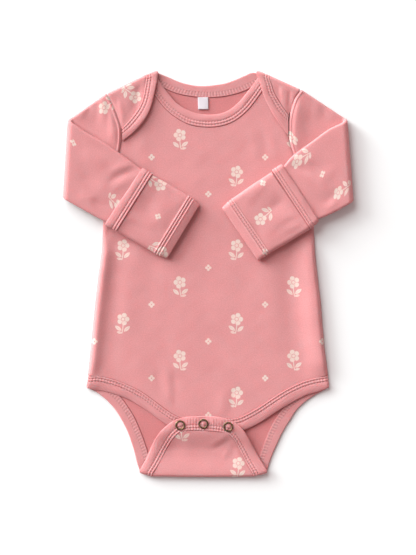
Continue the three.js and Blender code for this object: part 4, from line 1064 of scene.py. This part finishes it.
def tube_grid(rings):
    """rings: (points, across places, layer places, width). Adds the closing column and the place on the cut."""
    P = np.stack([r[0] for r in rings])
    P = np.concatenate([P, P[:, :1]], 1)
    centre = P[:, :-1].mean(1)
    run = np.concatenate([[0], np.cumsum(np.linalg.norm(np.diff(centre, axis=0), axis=1))])
    u = []
    for _, v, m, w in rings:
        side = np.where(np.arange(len(v)) < len(v) // 2, 1.0, -1.0)   # over layer first, then under
        uu = v * w * side
        u.append(np.concatenate([uu, [-w * v[0]]]))
    return P, np.stack([np.stack(u), run[:, None] * np.ones((1, P.shape[1]))], -1), run


def outward(P):
    q = P[:-1, :-1]
    n = np.cross(P[:-1, 1:] - q, P[1:, :-1] - q)
    c = q - P[:-1, :-1].mean(1, keepdims=True)
    return (n * c).sum() > 0


def sleeve(key):
    a = ARM[key]
    N, steps = 48, 46
    shift = np.array([a["shift"], 0])
    hole_pts = [np.array(a["top"], float)] + [np.array(p) + shift for p in ARMHOLE[key][1:-1]] + [np.array(a["pit"], float)]
    away = np.array([-0.2 if key == "left" else 0.1, 0])   # a hair clear of the body, so the two edges roll into one groove
    hole = spaced([tuple(p + away) for p in hole_pts], N)
    up, fo = spaced(a["up"], N), spaced(a["fore"], N)
    na, nf = 60, 58
    arm = patch(hole, up, spaced([hole[0], up[0]], na), spaced([hole[-1], up[-1]], na))
    near = [0, 0.3, 0.6, 0.9, 1.2, 1.5, 1.8, 2.1, 2.5, 2.9, 3.4, 4, 4.7, 5.5, 6.5, 7.7, 9, 10.5, 12, 14, 16, 18, 20, 22] + list(range(24, na, 3))
    fore = patch(fo, spaced([a["upper"][-1], a["lower"][-1]], N), spaced([tuple(fo[0])] + a["upper"], nf),
                 spaced([tuple(fo[-1])] + a["lower"], nf))
    rings = []
    out = np.array(a["out"])
    seam_at = np.array(a["band"][1][:2])
    hand = seam_at - np.array(a["band"][0][:2])
    hand /= np.linalg.norm(hand)

    def ring(row, place, half=SLEEVE_HALF):
        w = span(row)
        vm = loop(w, half, steps)
        v, m = vm[:, 0], vm[:, 1]
        rings.append((place(across(row, v), v, m), v, m, w))
    for i in near:
        ii = 5 * i / na

        row = arm[int(i)] + (arm[int(i) + 1] - arm[int(i)]) * (i - int(i))
        gap = np.linalg.norm(row - arm[0], axis=1)

        def place(p, v, m, ii=ii, gap=gap):
            z0 = SLEEVE_HALF + ((LAP + (3.6 - LAP) * smooth(0.35, 0.75, v) - CLOTH / 2) / 2 - SLEEVE_HALF) * (1 - ii / 5)
            half = z0 + (SLEEVE_HALF - z0) * smooth(0, 4, ii)
            z = CLOTH / 2 + half * (1 + m)
            x, y = p[:, 0], p[:, 1]
            wave = creases(x, y, UPPER_ARM_FOLDS[key]) + 0.2 * wander(x, y, 41, 30)
            # goes down into the armhole seam beside a raised line
            near_seam = np.interp(v, np.linspace(0, 1, len(gap)), gap)
            seam = -0.55 * bump(near_seam, 0, 0.75) + 0.50 * bump(near_seam, 1.7, 0.75)
            z = z + smooth(0.2, 1.0, m) * (wave * float(smooth(0, 0.6, ii)) * float(smooth(5.0, 4.2, ii)) + seam)
            return at(p, np.maximum(z, CLOTH / 2 + 0.02))
        ring(row, place)
    for t in np.linspace(0, 1, 21):
        row = up + (fo - up) * t

        def place(p, v, m, t=t):
            r = SLEEVE_BEND - m * SLEEVE_HALF
            q = p + out * (r * math.sin(math.pi * t))[:, None]
            return at(q, SLEEVE_LIFT - r * math.cos(math.pi * t))
        ring(row, place)
    for i, row in enumerate(fore[1:]):
        reach = float(smooth(0, 8, i)) * float(smooth(nf - 4, nf - 12, i))

        def place(p, v, m, reach=reach):
            x, y = p[:, 0], p[:, 1]
            wave = 1.35 * creases(x, y, FOREARM_FOLDS[key]) + 0.3 * wander(x, y, 42, 34)
            inside = smooth(-10, -3, (p - seam_at) @ hand)      # thinner and lower within the mitten
            z = FORE_Z - 1.8 * inside - m * SLEEVE_HALF * (1 - 0.5 * inside) + smooth(0.2, 1.0, -m) * wave * reach * (1 - inside)
            return at(p, z)
        ring(row, place)
    P, UV, run = tube_grid(rings)
    UV = UV + np.array([17.0, 30.0] if key == "left" else [34.0, 2.0])
    return shell("sleeve_%s_cloth" % key, [(P, UV, not outward(P))], CLOTH, [PRINTED, PLAIN])


def mitten(key):
    a = ARM[key]
    rows = [tuple(r) for r in a["mitten"]]
    top, low = [r[:2] for r in rows], [r[2:] for r in rows]
    n = 96
    up, dn = spaced(top, n), spaced(low, n)
    length = span(up)
    rings, hem = [], []
    for i in range(n + 1):
        d_end = length * (1 - i / n)
        w = float(np.linalg.norm(dn[i] - up[i]))
        vm = loop(w, CUFF_HALF, 44)
        v, m = vm[:, 0], vm[:, 1]
        p = up[i] + (dn[i] - up[i]) * v[:, None]
        x, y = p[:, 0], p[:, 1]
        half = CUFF_HALF - 0.3 * float(smooth(12, 0, d_end)) - 0.15
        d_band = length - d_end
        inside = float(smooth(11.5, 16.0, d_end)) * float(smooth(0, 6, d_band))
        wave = (1.3 * creases(x, y, MITTEN_FOLDS[key]) + 0.3 * wander(x, y, 43, 26)) * inside
        # the upper layer slopes away from the band and curls down at the hand end
        down = 1.2 * float(smooth(-4, 14, d_band)) + 1.5 * max(0.0, 1 - d_end / 7.5) ** 1.7
        z = FORE_Z - 0.7 * float(smooth(30, 2, d_end)) + m * half + smooth(0.2, 1.0, m) * wave - down * (1 + m) / 2
        rings.append((at(p, z), v, m, w))
        # hem: a doubled end, two needle rows with a raised line beside and between them
        e = 0.35 * smooth(13.1, 12.4, d_end) + sum(-0.55 * bump(d_end, r, 0.50) for r in HEM_ROWS) + sum(0.50 * bump(d_end, r, 0.60) for r in (7.3, 10.05, 12.5))
        hem.append(float(e))
    P, UV, run = tube_grid(rings)
    # ends of the stitch rows come from the ring nearest to each row
    along = np.concatenate([[0], np.cumsum(np.linalg.norm(np.diff(P[0], axis=0), axis=1))])
    lift = np.array(hem)[:, None] * np.ones((1, P.shape[1]))
    pk = np.cos(2 * np.pi * along / PITCH)[None]
    dist = (length * (1 - np.arange(n + 1) / n))[:, None]
    lift = lift + 0.10 * pk * (bump(dist, HEM_ROWS[0], 0.8) + bump(dist, HEM_ROWS[1], 0.8) + 0.8 * bump(dist, 10.05, 0.9))
    place_uv = np.array([23.0, 26.5] if key == "left" else [-4.0, 5.0])
    UV = UV + place_uv
    flip = not outward(P)
    hem_rows = [float(np.interp(length * (1 - dd / length), length * np.arange(n + 1) / n, run)) + place_uv[1] for dd in HEM_ROWS]
    cloth = jersey("jersey_mitten_" + key, PINK, True, hem=hem_rows)
    o = shell("mitten_%s_cloth" % key, [(P, UV, flip, lift)], CLOTH, [cloth, PLAIN])
    frames = []
    for dd in HEM_ROWS:
        i = int(round(n * (1 - dd / length)))
        ring_p = P[i]
        run_r = np.concatenate([[0], np.cumsum(np.linalg.norm(np.diff(ring_p, axis=0), axis=1))])
        where = np.arange(0.5 * PITCH, run_r[-1], PITCH)
        c = np.stack([np.interp(where, run_r, ring_p[:, k]) for k in range(3)], 1)
        ahead = np.stack([np.interp((where + 0.5) % run_r[-1], run_r, ring_p[:, k]) for k in range(3)], 1)
        t = ahead - c
        t /= np.linalg.norm(t, axis=1, keepdims=True)
        arm_dir = P[i + 1].mean(0) - P[i - 1].mean(0)
        arm_dir /= np.linalg.norm(arm_dir)
        nrm = np.cross(t, arm_dir)
        nrm *= np.sign((nrm * (c - ring_p.mean(0))).sum(1, keepdims=True) + 1e-9)
        frames.append((c + nrm * (CLOTH / 2 + 0.14), t, nrm, (0.80, 0.20)))
    STITCHES["mitten_" + key] = frames
    return o


def cuff_band(key):
    a = ARM[key]
    (fx0, fy0, fx1, fy1), (sx0, sy0, sx1, sy1) = a["band"]
    w = math.hypot(fx1 - fx0, fy1 - fy0)
    vm = loop(w, CUFF_HALF, 200, 41)
    v, m = vm[:, :1], vm[:, 1]
    s = np.array([sx0, sy0]) + (np.array([sx1, sy1]) - np.array([sx0, sy0])) * v
    f = np.array([fx0, fy0]) + (np.array([fx1, fy1]) - np.array([fx0, fy0])) * v
    z = FORE_Z + m * (CUFF_HALF + 0.1)
    k = int(np.median(np.where(m > 0.99)[0]))       # a place in the middle of the upper layer
    probe = np.cross(at(s, z)[k + 1] - at(s, z)[k - 1], (f - s)[k].tolist() + [0.0])
    sign = 1 if probe[2] > 0 else -1
    o, st = binding("cuff_band_%s_rib" % key, [(at(s, z), at(f, z))], sign, True, 51 if key == "left" else 52, half=BIND / 2 + 0.05,
                    relief=1.2, pull=0.5, cloth=RIB_BAND)
    STITCHES["cuff_" + key] = st
    return o


# ------------------------------------------------------------------ snaps and label


def lathe(name, rz, x, y, mat, sides=48):
    rz = np.array(rz, float)
    a = np.linspace(0, 2 * np.pi, sides, endpoint=False)
    n = len(rz)
    V = np.stack([x + rz[:, None, 0] * np.cos(a), y + rz[:, None, 0] * np.sin(a), rz[:, None, 1] + 0 * a], -1)
    idx = np.arange(n * sides).reshape(n, sides)
    nxt = np.roll(idx, -1, 0)
    q = np.stack([idx, np.roll(idx, -1, 1), np.roll(nxt, -1, 1), nxt], -1).reshape(-1, 4)
    uv = np.stack([q % sides, q // sides], -1).astype(float)
    return mesh_object(name, V.reshape(-1, 3), [q], [uv], [0], [mat])


def snap_cap(key):
    x, y = SNAPS[key]
    mid, half_w = (4.75 + 3.2) / 2, (4.75 - 3.2) / 2
    prof = []
    for k in range(20):                       # rounded bead, flatter below, with a fine step on its inner slope
        a = 2 * np.pi * k / 20
        r = mid + half_w * np.cos(a)
        z = 8.55 + (0.62 if math.sin(a) > 0 else 0.40) * math.sin(a)
        if 0.6 < a < 2.6:
            z += 0.06 * math.cos(3 * (a - 1.6))
        prof.append((r, z))
    return lathe("snap_%s_ring" % key, prof, x, y, BRASS)


def label():
    (x0, x1), (y0, y1), z0 = LABEL["x"], LABEL["y"], LABEL["z"]
    n, m = 20, 16
    t = np.linspace(0, 1, n + 1)[:, None]
    s = np.linspace(0, 1, m + 1)[None]
    y = y1 + 0.6 + (y0 - y1 - 0.6) * t + 0 * s
    x = x0 + (x1 - x0) * s + 0.25 * (t - 0.5) + 0 * t
    z = z0 + 0.10 + 0.25 * np.sin(np.pi * s) * t + 0.35 * t ** 2 * (1 - s) + 0 * y
    P = np.stack([x, y, z], -1)
    # folded loop: down the front, round the fold, and back up under it
    under = P[::-1].copy()
    under[..., 2] -= 0.55
    mid = (P[-1] + under[0]) / 2 - np.array([0, 0.28, 0])
    G = np.concatenate([P, mid[None], under])
    uv = np.stack([G[..., 0], np.cumsum(np.concatenate([np.zeros((1, m + 1)), np.linalg.norm(np.diff(G, axis=0), axis=2)]), 0)], -1)
    return shell("label_cloth", [(G, uv, True)], 0.32, [TAPE, TAPE])


# ------------------------------------------------------------------ making the garment
made = {
    "front_panel": front_panel(), "back_panel": back_panel(),
    "neck_binding_back": neck_back(), "neck_binding_front": neck_front(), "leg_binding": leg_binding(),
    "label": label(),
}
for side in ("left", "right"):
    made["sleeve_" + side] = sleeve(side)
    made["mitten_" + side] = mitten(side)
    made["cuff_band_" + side] = cuff_band(side)
for side in SNAPS:
    made["snap_%s_cap" % side] = snap_cap(side)
for node, piece in made.items():
    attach(piece, "root")
    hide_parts(node)
    kind = "snap_metal" if node.startswith("snap") else "label_tape" if node == "label" else "rib" if ("binding" in node or "band" in node) else "jersey"
for key, frames in STITCHES.items():
    piece = threads("stitching_" + key, frames)
    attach(piece, "root")
for name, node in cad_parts.items():
    if name.startswith("snap") and not name.endswith("cap"):
        node.data.materials.clear()
        node.data.materials.append(BRASS_PART)

# ------------------------------------------------------------------ floor, light and camera
bpy.ops.mesh.primitive_plane_add(size=60, location=(0, 0, -0.0003))
floor = bpy.context.object
floor.name = "floor"
g = Graph("floor_white")
tone = g.noise(3.0, 2.0, 0.5, vector=g.node("ShaderNodeTexCoord").outputs["Object"])
floor.data.materials.append(g.finish(g.scale_colour((0.82, 0.895, 0.897, 1), g.ramp(tone, 0.3, 0.7, 0.995, 1.0)), 0.8, specular=0.1))

# a broad low window from the upper left, and a lower, narrower one beside it
for name, energy, spread, toward in (("key", KEY, 58, (-0.60, 0.69, 0.52)), ("low", LOW, 26, (-0.84, 0.52, 0.26))):
    lamp = bpy.data.lights.new(name, "SUN")
    lamp.energy = energy
    lamp.angle = math.radians(spread)
    holder = bpy.data.objects.new(name, lamp)
    holder.rotation_mode = "QUATERNION"
    holder.rotation_quaternion = Vector(toward).to_track_quat("Z", "Y")
    bpy.context.scene.collection.objects.link(holder)

world = bpy.data.worlds.new("white")
world.use_nodes = True
world.node_tree.nodes["Background"].inputs[0].default_value = (1.0, 0.71, 0.70, 1)
world.node_tree.nodes["Background"].inputs[1].default_value = FILL
# seen past the edge of the floor, the surroundings are plain white
seen = world.node_tree.nodes.new("ShaderNodeBackground")
seen.inputs[0].default_value, seen.inputs[1].default_value = (1.0, 1.0, 1.0, 1), 1.0
either = world.node_tree.nodes.new("ShaderNodeMixShader")
world.node_tree.links.new(world.node_tree.nodes.new("ShaderNodeLightPath").outputs["Is Camera Ray"], either.inputs[0])
world.node_tree.links.new(world.node_tree.nodes["Background"].outputs[0], either.inputs[1])
world.node_tree.links.new(seen.outputs[0], either.inputs[2])
world.node_tree.links.new(either.outputs[0], world.node_tree.nodes["World Output"].inputs[0])
bpy.context.scene.world = world

cam_data = bpy.data.cameras.new("camera")
cam_data.sensor_fit = "VERTICAL"
cam_data.sensor_height = 24.0
cam_data.lens = 24.0 * 2.0 / 0.52725
cam_data.clip_end = 100.0
cam = bpy.data.objects.new("camera", cam_data)
cam.location = (-0.000285, -0.0038, 2.005)
bpy.context.scene.collection.objects.link(cam)
bpy.context.scene.camera = cam
bpy.context.scene.view_settings.view_transform = "Standard"
